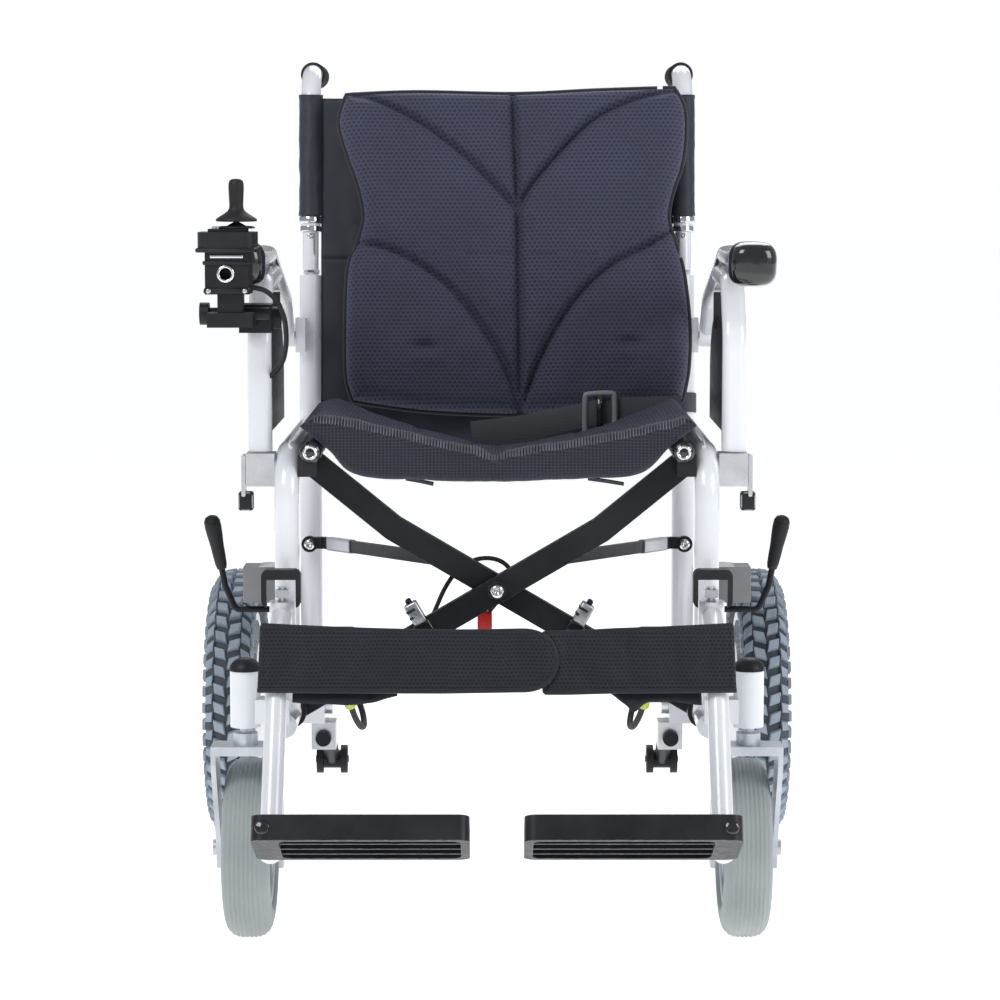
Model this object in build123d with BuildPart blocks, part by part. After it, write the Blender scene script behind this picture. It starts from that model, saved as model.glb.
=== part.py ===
from build123d import *
import math
import os

# Folding power wheelchair, millimetres. X runs across the chair, -Y is forward, Z is up.
# The origin is on the floor under the middle of the chair's plan. side is -1 or +1.

os.makedirs("parts", exist_ok=True)

sides = {"left": -1, "right": 1}

# Everything below is laid out from the seat frame, then moved so that the plan's middle is at Y 0.
plan_middle_y = 26.15

# Frame
tube_x = 210
tube_r = 12.5
front_y = -125
rear_y = 255
rail_z = 222
top_z = 483
top_bend = 45
recline = 0.14
cane_break_z = 650
running = 0.05
gap = 0.3

# Cross brace and seat rails
seat_rail_x = 186
seat_rail_z = 488
seat_rail_r = 11
seat_front_y = -128
seat_back_y = 235
bar_height = 26
bar_thick = 10
bar_a_y = -95
bar_b_y = -80
bend_x = 105
sleeve_r = 17
sleeve_y = (-110, -64)
bolt_r = 5

# Wheels
wheel_x = 300
axle_y = 308
wheel_r = 156
wheel_width = 57
rim_r = 106
axle_r = 8
caster_x = 248
barrel_y = -185
caster_y = -140
caster_r = 90
caster_width = 50
barrel_r = 15
stem_r = 6
tipper_x = 200
tipper_y = 468
tipper_r = 17

# Hangers and footplates
hanger_x = 213
hanger_y = -153
hanger_top_z = 330
hanger_knee = (-215, 312)
hanger_foot = (-334, 131)
strap_middle = -25
strap_height = 70
pivot_r = 5
plate_in_x = 25
plate_out_x = 224
plate_tilt = 25
plate_front = 104
plate_back = 17
plate_thick = 24

# Armrests
arm_x = 238
arm_width = 24
arm_depth = 18
arm_pivot = (245, 585)

# Wheel lock lever's pivot
lever_y = 115
lever_z = 294


def cane_y(z):
    """Y of the back tube's centre line at a height above the seat."""
    return rear_y + recline * (z - 500)


def save(piece, name):
    """Move a finished piece so that the origin is under the middle of the plan, and write it."""
    piece.part.label = name
    placed = piece.part.moved(Location((0, -plan_middle_y, 0)))
    placed.label = name
    export_step(placed, f"parts/{name}.step")


def rod(start, end, radius, mode=Mode.ADD):
    """Round bar between two points, in the part being built."""
    run = Vector(*end) - Vector(*start)
    with BuildSketch(Plane(origin=start, z_dir=run)) as section:
        Circle(radius)
    extrude(section.sketch, amount=run.length, mode=mode)


def bent_tube(points, radius, bends, mode=Mode.ADD):
    """Round tube along straight runs joined by arcs, in the part being built."""
    with BuildLine() as route:
        FilletPolyline(*points, radius=bends)
    path = route.wire()
    with BuildSketch(Plane(origin=path @ 0, z_dir=path % 0)) as section:
        Circle(radius)
    sweep(section.sketch, path=path, mode=mode)


def block(x, y, z, mode=Mode.ADD):
    """Box between low and high values on each axis, in the part being built."""
    middle = [(low + high) / 2 for low, high in (x, y, z)]
    sizes = [abs(high - low) for low, high in (x, y, z)]
    with Locations(tuple(middle)):
        Box(*sizes, mode=mode)


def span(side, near, far):
    """Low and high X of something between two distances from the middle."""
    return sorted((side * near, side * far))


def cord_bends(points):
    """Radius at each corner of a cord: 0.45 of the shorter run over the tangent of half the turn."""
    radii = []
    for before, corner, after in zip(points, points[1:], points[2:]):
        first = Vector(*corner) - Vector(*before)
        second = Vector(*after) - Vector(*corner)
        half = math.radians(first.get_angle(second)) / 2
        radii.append(0.45 * min(first.length, second.length) / math.tan(half))
    return radii


def cord(points, diameter, name):
    radii = cord_bends(points)
    print(name, "bend radii", [round(r) for r in radii])
    bent_tube(points, diameter / 2, radii)


# ---------------------------------------------------------------- side frames


def side_frame(name, side):
    """White welded side: front tube with top rail, back tube, lower rail, caster barrel, axle plate."""
    x = side * tube_x
    barrel_x = side * caster_x
    with BuildPart() as piece:
        corner = [(x, front_y, rail_z), (x, front_y, top_z), (x, rear_y, top_z)]
        bent_tube(corner, tube_r, top_bend)
        top = (x, cane_y(cane_break_z), cane_break_z)
        bent_tube([(x, rear_y, rail_z), (x, rear_y, 500), top], tube_r, 80)
        rod((x, barrel_y, rail_z), (x, 300, rail_z), tube_r)
        # caster barrel and its lug
        rod((barrel_x, barrel_y, 222), (barrel_x, barrel_y, 278), barrel_r)
        block(span(side, 204, 240), (-196, -174), (226, 250))
        rod((barrel_x, barrel_y, 220), (barrel_x, barrel_y, 280), stem_r + running, Mode.SUBTRACT)
        # axle box and rounded outer plate
        block(span(side, 198, 240), (284, 332), (136, 216))
        with BuildSketch(Plane.YZ.offset(side * 245)) as plate:
            with Locations((axle_y, 208)):
                Rectangle(66, 104)
            with Locations((axle_y, wheel_r)):
                Circle(33)
        extrude(plate.sketch, amount=5, both=True)
        block(span(side, 215, 245), (284, 332), (216, 240))
        # lugs that carry the hanger's pin
        for z in (264, 350):
            block(span(side, 206.5, 219.5), (-160, front_y - 8), (z - 4, z + 4))
        rod((side * hanger_x, hanger_y, 255), (side * hanger_x, hanger_y, 360), pivot_r, Mode.SUBTRACT)
        # ear of the back's half-fold hinge
        hinge_y = cane_y(cane_break_z) + 17
        with BuildSketch(Plane.YZ.offset(x)) as ear:
            with Locations((hinge_y, 654)):
                Circle(7)
            with Locations((hinge_y - 8, 644)):
                Rectangle(16, 20)
        extrude(ear.sketch, amount=3, both=True)
        rod((x - 10, hinge_y, 654), (x + 10, hinge_y, 654), 3, Mode.SUBTRACT)
        # bracket of the armrest's pivot
        block(span(side, 214, 225), (236, 262), (566, 604))
        pin_y, pin_z = arm_pivot
        rod((side * 205, pin_y, pin_z), (side * 230, pin_y, pin_z), pivot_r, Mode.SUBTRACT)
        # plate that carries the wheel lock
        block(span(side, 215, 221), (100, 130), (226, 322))
        # hole for the wheel axle
        rod((side * 195, axle_y, wheel_r), (side * 260, axle_y, wheel_r), axle_r, Mode.SUBTRACT)
    save(piece, f"side_frame_{name}")


def side_hardware(name, side):
    """Steel and grey cast pieces bolted to the side: axle and nuts, pins, arm socket, lock housing."""
    x = side * tube_x
    pin_y, pin_z = arm_pivot
    hinge_y = cane_y(cane_break_z) + 17
    with BuildPart() as piece:
        # wheel axle with its nuts and washer
        rod((side * 198, axle_y, wheel_r), (side * 330, axle_y, wheel_r), axle_r)
        with BuildSketch(Plane.YZ.offset(side * 324)) as nut:
            with Locations((axle_y, wheel_r)):
                RegularPolygon(14, 6)
        extrude(nut.sketch, amount=side * 11)
        rod((side * 250.2, axle_y, wheel_r), (side * 256, axle_y, wheel_r), 15)
        rod((side * 190, axle_y, wheel_r), (side * 197.8, axle_y, wheel_r), 13)
        rod((side * 190, axle_y, wheel_r), (side * 198, axle_y, wheel_r), axle_r)
        # hanger pin
        rod((side * hanger_x, hanger_y, 256), (side * hanger_x, hanger_y, 356), pivot_r)
        # half-fold hinge pin
        rod((x - 9, hinge_y, 654), (x + 9, hinge_y, 654), 3)
        # armrest pivot pin and its head
        rod((side * 214, pin_y, pin_z), (side * 251.5, pin_y, pin_z), pivot_r)
        rod((side * 251.5, pin_y, pin_z), (side * 256, pin_y, pin_z), 9)
        # socket that the front of the armrest drops into
        block(span(side, 223, 252), (-112, -82), (452, 485))
        # wheel lock housing, flat on top and round below
        with BuildSketch(Plane.XZ.offset(-132)) as lock:
            with Locations((side * 247.5, 333)):
                Rectangle(52, 18)
            with Locations((side * 247.5, 324)):
                Ellipse(26, 20)
        extrude(lock.sketch, amount=34)
        block(span(side, 236, 246), (107, 123), (286, 312))
        rod((side * 230, lever_y, lever_z), (side * 250, lever_y, lever_z), 3.5 + running, Mode.SUBTRACT)
        # clamp that holds the anti-tip tube under the axle box
        block(span(side, 186, 214), (292, 324), (104, 135.7))
        rod((side * tipper_x, 280, 118), (side * tipper_x, 336, 118), 9.1, Mode.SUBTRACT)
    save(piece, f"side_hardware_{name}")


def frame_fittings(name, side):
    """Black plastic pieces on the side frame: rail cradles, barrel cap, battery hooks."""
    with BuildPart() as piece:
        for y in (-118, 203):
            with BuildSketch(Plane.XZ.offset(-y - 7)) as cradle:
                with Locations((side * 189.5, 474)):
                    Rectangle(19, 22)
                with Locations((side * seat_rail_x, seat_rail_z)):
                    Circle(seat_rail_r + gap, mode=Mode.SUBTRACT)
            extrude(cradle.sketch, amount=14)
        corner = [(side * tube_x, y, z) for y, z in ((front_y, 400), (front_y, top_z), (rear_y, top_z))]
        bent_tube(corner, tube_r + 0.1, top_bend, Mode.SUBTRACT)
        # domed cap on the caster barrel
        with BuildSketch(Plane.XZ.offset(-barrel_y)) as dome:
            with BuildLine():
                Line((side * caster_x, 278.1), (side * caster_x, 290))
                ThreePointArc(
                    (side * caster_x, 290), (side * (caster_x + 11.5), 287), (side * (caster_x + 16), 278.1)
                )
                Line((side * (caster_x + 16), 278.1), (side * caster_x, 278.1))
            make_face()
        revolve(dome.sketch, axis=Axis((side * caster_x, barrel_y, 0), (0, 0, 1)))
        # hooks between the battery and the lower rail
        for y in (-30, 70):
            block(span(side, 195.2, 200), (y - 10, y + 10), (237, 266))
            block(span(side, 199, 222), (y - 10, y + 10), (235, 242))
    save(piece, f"frame_fittings_{name}")


def battery(name, side):
    """Sealed battery case, its bottom edges rounded, hung inside the lower rail."""
    with BuildPart() as piece:
        block(span(side, 150, 195), (-60, 140), (222, 272))
        fillet(piece.edges().filter_by(Axis.Y), 9)
        fillet(piece.edges().filter_by(Axis.X), 5)
        # carrying handle moulded along the top
        block(span(side, 166, 179), (-10, 90), (271, 277))
    save(piece, f"battery_{name}")


def anti_tip_tube(name, side):
    """Black tube that reaches back and down from the axle box to the anti-tip wheels."""
    x = side * tipper_x
    with BuildPart() as piece:
        rod((x, 284, 118), (x, 372, 118), 9)
        rod((x, 372, 118), (x, tipper_y, 58), 9)
        with Locations((x, 372, 118)):
            Sphere(9)
        rod((x - 9.7, tipper_y, 58), (x + 9.7, tipper_y, 58), 11)
        rod((x - 20, tipper_y, 58), (x + 20, tipper_y, 58), 4)
    save(piece, f"anti_tip_tube_{name}")


def anti_tip_wheels(name, side):
    """Pair of small wheels on one pin, one on each side of the tube."""
    x = side * tipper_x
    with BuildPart() as piece:
        for offset in (-18.5, 10.5):
            with BuildSketch(Plane.YZ.offset(x + offset)) as disc:
                with Locations((tipper_y, 58)):
                    Circle(tipper_r)
                    Circle(4 + running, mode=Mode.SUBTRACT)
            extrude(disc.sketch, amount=8)
    save(piece, f"anti_tip_wheels_{name}")


def motor_cable(name, side):
    """Motor lead: out of the axle box, round in a hanging loop, and up to the battery."""
    points = [
        (side * 199, 300, 182),
        (side * 178, 298, 181),
        (side * 163, 292, 170),
        (side * 154, 279, 151),
        (side * 151, 258, 138),
        (side * 154, 234, 141),
        (side * 159, 212, 155),
        (side * 164, 190, 176),
        (side * 168, 170, 199),
        (side * 171, 153, 222),
        (side * 172, 139, 240),
    ]
    with BuildPart() as piece:
        cord(points, 7, f"motor cable {name}")
    save(piece, f"motor_cable_{name}")


# ------------------------------------------------------------------- wheels


def rear_tyre(name, side):
    """Knobbly drive tyre with a round crown."""
    with BuildPart() as piece:
        with BuildSketch(Plane.XY.offset(wheel_r)) as section:
            with Locations((side * wheel_x, axle_y - 131)):
                RectangleRounded(wheel_width, 50, 17)
        revolve(section.sketch, axis=Axis((0, axle_y, wheel_r), (1, 0, 0)))
    save(piece, f"rear_tyre_{name}")


def hub_motor(name, side):
    """Alloy rim carrying the round motor shell in one turning assembly."""
    bands = [
        # inner and outer X from the wheel's middle, inner and outer radius
        (-22, 22, 96, rim_r - 0.1),
        (-5, 5, 70, 97),
        (-26, 26, 22, 72),
        (-26, 14, axle_r + running, 24),
    ]
    with BuildPart() as piece:
        with BuildSketch(Plane.XY.offset(wheel_r)) as section:
            for start, end, inner, outer in bands:
                with Locations((side * (wheel_x + (start + end) / 2), axle_y - (inner + outer) / 2)):
                    Rectangle(end - start, outer - inner)
        revolve(section.sketch, axis=Axis((0, axle_y, wheel_r), (1, 0, 0)))
    save(piece, f"hub_motor_{name}")


def caster_fork(name, side):
    """Alloy fork: stem, crown, two swept legs with spare axle holes, and the axle bolt."""
    x = side * caster_x
    leg_x = caster_width / 2 + 6
    with BuildPart() as piece:
        rod((x, barrel_y, 200), (x, barrel_y, 276), stem_r)
        rod((x, barrel_y, 203), (x, barrel_y, 216), 12)
        block((x - leg_x - 2.5, x + leg_x + 2.5), (barrel_y - 17, barrel_y + 17), (195, 204))
        for offset in (-leg_x, leg_x):
            with BuildSketch(Plane.YZ.offset(x + offset)) as leg:
                with BuildLine():
                    Polyline(
                        (barrel_y - 17, 204),
                        (barrel_y + 17, 204),
                        (caster_y + 14, 110),
                        (caster_y + 13, 78),
                        (caster_y + 5, 70),
                        (caster_y - 8, 70),
                        (caster_y - 16, 100),
                        (barrel_y - 17, 185),
                        (barrel_y - 17, 204),
                    )
                make_face()
                with Locations((caster_y - 8, 118), (caster_y - 18, 140)):
                    Circle(4, mode=Mode.SUBTRACT)
            extrude(leg.sketch, amount=2.5, both=True)
        rod((x - leg_x - 6.5, caster_y, caster_r), (x + leg_x + 6.5, caster_y, caster_r), bolt_r)
        for start, end in ((-leg_x - 6.5, -leg_x - 2.5), (leg_x + 2.5, leg_x + 6.5)):
            rod((x + start, caster_y, caster_r), (x + end, caster_y, caster_r), 8)
        for start, end in ((-leg_x + 2.5, -18.5), (18.5, leg_x - 2.5)):
            rod((x + start, caster_y, caster_r), (x + end, caster_y, caster_r), 7)
    save(piece, f"caster_fork_{name}")


def caster_wheel(name, side):
    """Solid grey front wheel: round crown, dished web, hub."""
    x = side * caster_x
    with BuildPart() as piece:
        with BuildSketch(Plane.XY.offset(caster_r)) as section:
            with Locations((x, caster_y - 70)):
                RectangleRounded(caster_width, 40, 18)
            with Locations((x, caster_y - 38)):
                Rectangle(12, 40)
            with Locations((x, caster_y - 14)):
                Rectangle(36, 17.9)
        revolve(section.sketch, axis=Axis((0, caster_y, caster_r), (1, 0, 0)))
    save(piece, f"caster_wheel_{name}")


# ------------------------------------------------------- hangers, footplates


def foot_plane():
    """Plane along the tilted footplate through the hanger's foot: local X across, local Y down the slope."""
    tilt = math.radians(plate_tilt)
    up = Vector(0, math.sin(tilt), math.cos(tilt))
    return Plane(origin=(0, *hanger_foot), x_dir=(1, 0, 0), z_dir=up)


def on_slope(x, along):
    """Point on the footplate's hinge line, at a distance forward of the hanger's foot."""
    point = foot_plane().from_local_coords(Vector(x, -along, 0))
    return (point.X, point.Y, point.Z)


def hanger(name, side):
    """White swing-away hanger: pivot casting on the pin, a sloping tube and the footplate's hinge pin."""
    x = side * hanger_x
    foot_y, foot_z = hanger_foot
    with BuildPart() as piece:
        rod((x, hanger_y, 272), (x, hanger_y, 342), 13)
        bent_tube([(x, hanger_y, hanger_top_z), (x, *hanger_knee), (x, foot_y, foot_z)], 10.5, 35)
        with Locations((x, foot_y, foot_z)):
            Sphere(12)
        rod((x, foot_y, foot_z), on_slope(x, plate_front - 1), pivot_r)
        rod((x, hanger_y, 260), (x, hanger_y, 350), pivot_r + running, Mode.SUBTRACT)
    save(piece, f"hanger_{name}")


def hanger_latch(name, side):
    """Black release lever, an upside-down U over the top of the hanger."""
    x = side * hanger_x
    with BuildPart() as piece:
        with BuildSketch(Plane.XZ.offset(-hanger_y + 8)) as shape:
            with Locations((x, 357)):
                RectangleRounded(39, 38, 7)
            with Locations((x, 352)):
                Rectangle(29, 28.1, mode=Mode.SUBTRACT)
        extrude(shape.sketch, amount=14)
    save(piece, f"hanger_latch_{name}")


def calf_strap(name, side):
    """Half of the padded strap behind the calves, lying along the front of its hanger tube."""
    foot_y, foot_z = hanger_foot
    knee_y, knee_z = hanger_knee
    down = Vector(0, foot_y - knee_y, foot_z - knee_z).normalized()
    forward = Vector(0, down.Z, -down.Y)
    plane = Plane(origin=Vector(0, knee_y, knee_z) + forward * 11.2, x_dir=(1, 0, 0), z_dir=forward)
    meet = 58 if side < 0 else 59
    low, high = sorted((meet, side * 233))
    with BuildPart() as piece:
        with BuildSketch(plane) as band:
            with Locations(((low + high) / 2, strap_middle)):
                RectangleRounded(high - low, strap_height, 12)
        extrude(band.sketch, amount=9)
    save(piece, f"calf_strap_{name}")


def footplate(name, side):
    """Moulded footplate, hollow and ribbed underneath, with its hinge sleeve inside the outer edge."""
    low, high = span(side, plate_in_x, plate_out_x)
    inner, outer = span(side, plate_in_x + 8, hanger_x - 14)
    middle = -(plate_front + plate_back) / 2
    depth = plate_front - plate_back
    x = side * hanger_x
    with BuildPart() as piece:
        with BuildSketch(foot_plane().offset(plate_thick / 2)) as top:
            with Locations(((low + high) / 2, middle)):
                RectangleRounded(high - low, depth, 11)
        extrude(top.sketch, amount=-plate_thick)
        with BuildSketch(foot_plane().offset(-plate_thick / 2)) as hollow:
            with Locations(((inner + outer) / 2, middle)):
                RectangleRounded(outer - inner, depth - 12, 9)
        extrude(hollow.sketch, amount=plate_thick - 6, mode=Mode.SUBTRACT)
        for share in (-0.25, 0, 0.25):
            with BuildSketch(foot_plane().offset(1 - plate_thick / 2)) as rib:
                with Locations(((inner + outer) / 2, middle + share * depth)):
                    Rectangle(outer - inner + 4, 3)
            extrude(rib.sketch, amount=plate_thick - 5)
        rod(on_slope(x, 0), on_slope(x, plate_front + 10), pivot_r + running, Mode.SUBTRACT)
    save(piece, f"footplate_{name}")


# ------------------------------------------------------------- folding brace

centre = (0, 345)
rail_seat = (seat_rail_x - 2, seat_rail_z - 17)


def brace(name, side, bar_y, hole_r):
    """Weldment of one diagonal: the flat bar, the sleeve round the lower rail, and the seat rail on top.

    side is the side of its lower end. Its seat rail is on the other side.
    """
    bend_z = centre[1] + (centre[1] - rail_z) / tube_x * bend_x
    runs = [(side * tube_x, rail_z), centre, (-side * bend_x, bend_z), (-side * rail_seat[0], rail_seat[1])]
    with BuildPart() as piece:
        with BuildSketch(Plane.XZ.offset(-bar_y - bar_thick / 2)) as bar:
            for start, end in zip(runs, runs[1:]):
                angle = math.degrees(math.atan2(end[1] - start[1], end[0] - start[0]))
                middle = ((start[0] + end[0]) / 2, (start[1] + end[1]) / 2)
                length = math.dist(start, end)
                with Locations(Location(middle, angle)):
                    SlotCenterToCenter(length, bar_height)
            with Locations(centre):
                Circle(hole_r, mode=Mode.SUBTRACT)
        extrude(bar.sketch, amount=bar_thick)
        sleeve_front, sleeve_back = sleeve_y
        lower = side * tube_x
        rod((lower, sleeve_front, rail_z), (lower, sleeve_back, rail_z), sleeve_r)
        bore_r = tube_r + running
        rod((lower, sleeve_front - 1, rail_z), (lower, sleeve_back + 1, rail_z), bore_r, Mode.SUBTRACT)
        x = -side * seat_rail_x
        rod((x, seat_front_y, seat_rail_z), (x, seat_back_y, seat_rail_z), seat_rail_r)
        if hole_r == bolt_r:
            rod((0, bar_a_y - 9, centre[1]), (0, bar_b_y + 9, centre[1]), bolt_r)
            rod((0, bar_a_y - 9, centre[1]), (0, bar_a_y - 5.2, centre[1]), 9)
            rod((0, bar_b_y + 5.3, centre[1]), (0, bar_b_y + 9, centre[1]), 9)
    save(piece, name)


link_pin = (tube_x, 352)
link_end = (48, 372)
link_back_y = 226
link_front_y = -74


def link(name, side):
    """Stabiliser link: an eye on the back tube's pin, a flat bar forward and an eye behind the brace."""
    pin = (side * link_pin[0], link_pin[1])
    end = (side * link_end[0], link_end[1])
    start = Vector(pin[0] - side * 14, link_back_y - 3.5, pin[1] + 1.7)
    stop = Vector(end[0] + side * 3, link_front_y + 3.5, end[1])
    run = stop - start
    with BuildPart() as piece:
        for y, place, hole in ((link_back_y, pin, True), (link_front_y + 7, end, False)):
            with BuildSketch(Plane.XZ.offset(-y)) as eye:
                with Locations(place):
                    Circle(9)
                if hole:
                    with Locations((place[0] - side * 11, place[1] + 1.3)):
                        Rectangle(16, 13)
                    with Locations(place):
                        Circle(bolt_r + running, mode=Mode.SUBTRACT)
            extrude(eye.sketch, amount=7)
        with BuildSketch(Plane(origin=start, x_dir=run.cross(Vector(0, 0, 1)), z_dir=run)) as bar:
            Rectangle(6, 13)
        extrude(bar.sketch, amount=run.length)
    save(piece, f"brace_link_{name}")


# ------------------------------------------------------------------- seat, back


def seat_cushion():
    """Sling seat with its sewn-in pad, sagging between the two seat rails."""
    with BuildPart() as piece:
        with BuildSketch(Plane.XZ.offset(-190)) as section:
            with BuildLine():
                ThreePointArc((-180, 516), (3, 480), (187, 515))
                Line((187, 515), (187, 500.6))
                Line((187, 500.6), (173.4, 500.6))
                Line((173.4, 500.6), (173.4, 486))
                ThreePointArc((173.4, 486), (0, 446), (-173.4, 486))
                Line((-173.4, 486), (-173.4, 500.6))
                Line((-173.4, 500.6), (-180, 500.6))
                Line((-180, 500.6), (-180, 516))
            make_face()
        extrude(section.sketch, amount=190 - seat_front_y - 3)
    save(piece, "seat_cushion")


def seat_belt():
    """Lap belt lying across the back of the seat."""
    with BuildPart() as piece:
        with BuildSketch(Plane.XZ.offset(-178)) as strap:
            with BuildLine():
                Polyline(
                    (-27, 484),
                    (60, 489),
                    (120, 500),
                    (205, 524),
                    (205, 556),
                    (110, 532),
                    (-27, 509),
                    (-27, 484),
                )
            make_face()
        extrude(strap.sketch, amount=4)
    save(piece, "seat_belt")


def back_plane(depth):
    """Plane parallel to the reclined back: local Y up the slope, depth in front of the canes' centres."""
    slope = math.hypot(1, recline)
    up = Vector(0, recline / slope, 1 / slope)
    forward = Vector(0, -1 / slope, recline / slope)
    start = Vector(0, cane_y(500), 500) + forward * depth
    return Plane(origin=start, x_dir=(1, 0, 0), z_dir=forward)


def back_cushion(name, outline):
    with BuildPart() as piece:
        with BuildSketch(back_plane(14)) as shape:
            with BuildLine():
                Polyline(*outline, outline[0])
            make_face()
            fillet(shape.vertices(), 9)
        extrude(shape.sketch, amount=44)
    save(piece, name)


def back_sling(name, low, high):
    with BuildPart() as piece:
        with BuildSketch(back_plane(-1.5)) as sheet:
            with Locations((0, (low + high) / 2)):
                Rectangle(2 * (tube_x - tube_r - 1.2), high - low)
        extrude(sheet.sketch, amount=3)
    save(piece, name)


def upper_cane(name, side):
    """Folding upper back tube: hinge ears, plated neck, tube and the bend into the push handle."""
    x = side * tube_x
    hinge_y = cane_y(cane_break_z) + 17
    with BuildPart() as piece:
        rod((x, cane_y(656), 656), (x, cane_y(712), 712), 9)
        bent_tube([(x, cane_y(704), 704), (x, cane_y(877), 877), (x, 424, 877)], 11, 42)
        for offset in (-5.6, 5.6):
            with BuildSketch(Plane.YZ.offset(x + offset)) as ear:
                with Locations((hinge_y, 654)):
                    Circle(7)
                with Locations((hinge_y - 6, 661)):
                    Rectangle(12, 14)
            extrude(ear.sketch, amount=2.2, both=True)
        rod((x - 10, hinge_y, 654), (x + 10, hinge_y, 654), 3 + running, Mode.SUBTRACT)
    save(piece, f"upper_cane_{name}")


def push_grip(name, side):
    """Ribbed rubber grip on the push handle, with a flange in front and open at the back end."""
    x = side * tube_x
    with BuildPart() as piece:
        rod((x, 340, 877), (x, 432, 877), 13.2)
        for y in (344, 356, 368, 380, 392, 404, 416):
            rod((x, y, 877), (x, y + 5, 877), 14)
        rod((x, 330, 877), (x, 424, 877), 11, Mode.SUBTRACT)
    save(piece, f"push_grip_{name}")


# -------------------------------------------------------------------- armrests

arm_route = [(-97, 487), (-100, 602), (-66, 654), (60, 660), (196, 628), arm_pivot]


def arm_tube(name, side):
    """White flat-oval arch: front post, top run, and the rear end on its pivot."""
    x = side * arm_x
    points = [(x, y, z) for y, z in arm_route]
    pin_y, pin_z = arm_pivot
    with BuildPart() as piece:
        with BuildLine() as route:
            FilletPolyline(*points, radius=[40, 40, 90, 60])
        path = route.wire()
        with BuildSketch(Plane(origin=path @ 0, x_dir=(1, 0, 0), z_dir=path % 0)) as section:
            RectangleRounded(arm_width, arm_depth, 8)
        sweep(section.sketch, path=path)
        rod((x - 12, pin_y, pin_z), (x + 12, pin_y, pin_z), 14)
        rod((x - 14, pin_y, pin_z), (x + 14, pin_y, pin_z), pivot_r + running, Mode.SUBTRACT)
    save(piece, f"arm_tube_{name}")


def arm_pad(name, side):
    """Black arm pad: long tapering top and a large rounded nose at the front."""
    low, high = span(side, 229, 277)
    with BuildPart() as piece:
        block((low, high), (-152, -90), (664.5, 697))
        block((low, high), (-152, -114), (652, 697))
        fillet(piece.edges().filter_by(Axis.Y), 9)
        with BuildSketch(Plane.YZ.offset(side * 252)) as side_view:
            with BuildLine():
                Polyline((-100, 692), (60, 690), (186, 656), (192, 644), (62, 671), (-100, 668), (-100, 692))
            make_face()
        extrude(side_view.sketch, amount=20, both=True)
    save(piece, f"arm_pad_{name}")


def skirt_guard(name, side):
    """Flat black side panel under the arch, with an arched top edge."""
    with BuildPart() as piece:
        with BuildSketch(Plane.YZ.offset(side * 236)) as panel:
            with BuildLine():
                Line((-84, 498), (-84, 560))
                ThreePointArc((-84, 560), (-68, 598), (-30, 612))
                Line((-30, 612), (110, 612))
                ThreePointArc((110, 612), (160, 592), (180, 560))
                Line((180, 560), (180, 498))
                Line((180, 498), (-84, 498))
            make_face()
        extrude(panel.sketch, amount=2, both=True)
        for y, top in ((-20, 646), (100, 638.5)):
            block(span(side, 232, 244), (y - 7, y + 7), (600, top))
    save(piece, f"skirt_guard_{name}")


def arm_latch(name, side):
    """Catch lever on the outside of the arm socket, with a long thumb tip hanging below it."""
    with BuildPart() as piece:
        with BuildSketch(Plane.XZ.offset(106)) as plate:
            with Locations((side * 255, 462)):
                RectangleRounded(4, 42, 1.5)
        extrude(plate.sketch, amount=-18)
        with BuildSketch(Plane.XZ.offset(104)) as tip:
            with Locations((side * 253, 436)):
                RectangleRounded(14, 18, 4)
        extrude(tip.sketch, amount=-14)
    save(piece, f"arm_latch_{name}")


# ------------------------------------------------------------------ controller

pod_x = -260
pod_y = -188
socket_z = 668


def joystick_bracket():
    """Black clamp on the left arm post with its two turn knobs and the bar under the controller."""
    with BuildPart() as piece:
        block((-254, -222), (-150, -109.4), (608, 636))
        block((-280, -236), (-206, -150), (616, 630))
        rod((-290, -170, 628), (-222, -170, 628), 6)
        rod((-290, -170, 628), (-281, -170, 628), 11)
        rod((-222, -130, 622), (-214, -130, 622), 11)
        block((-270, -246), (-202, -176), (629, 648))
    save(piece, "joystick_bracket")


def controller_housing():
    """Stepped controller shell with a socket hole for the charger in its front."""
    with BuildPart() as piece:
        block((-288, -233), (pod_y - 28, pod_y + 30), (691, 708))
        fillet(piece.edges().filter_by(Axis.Z), 10)
        block((-281, -239), (pod_y - 22, pod_y + 26), (648.2, 693))
        block((-278, -242), (pod_y - 20, pod_y + 20), (706, 711))
        rod((pod_x - 1, pod_y - 30, socket_z), (pod_x - 1, pod_y - 6, socket_z), 5.5, Mode.SUBTRACT)
        # wells for the joystick and the power button
        rod((-252, pod_y, 696), (-252, pod_y, 715), 13, Mode.SUBTRACT)
        rod((-271, pod_y - 8, 704), (-271, pod_y - 8, 715), 4.5, Mode.SUBTRACT)
    save(piece, "controller_housing")


def joystick_boot():
    """Round gimbal collar that tilts fore and aft in the controller."""
    with BuildPart() as piece:
        with BuildSketch(Plane.XZ.offset(-pod_y)) as half:
            with BuildLine():
                Polyline(
                    (-252, 699),
                    (-240.5, 699),
                    (-240.5, 708),
                    (-243, 714),
                    (-248.4, 717),
                    (-252, 717),
                    (-252, 699),
                )
            make_face()
        revolve(half.sketch, axis=Axis((-252, pod_y, 0), (0, 0, 1)))
        rod((-252, pod_y, 701), (-252, pod_y, 720), 3.3, Mode.SUBTRACT)
    save(piece, "joystick_boot")


def joystick_stick():
    """Joystick: thin stem, flared rubber skirt and a round-topped handle."""
    with BuildPart() as piece:
        with BuildSketch(Plane.XZ.offset(-pod_y)) as half:
            with BuildLine():
                Polyline(
                    (-252, 717.6), (-232, 717.6), (-233, 721), (-243, 728), (-245.5, 737),
                    (-244.8, 752), (-247, 757.5), (-252, 759), (-252, 717.6),
                )
            make_face()
        revolve(half.sketch, axis=Axis((-252, pod_y, 0), (0, 0, 1)))
        rod((-252, pod_y, 703), (-252, pod_y, 719), 3)
    save(piece, "joystick_stick")


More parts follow.
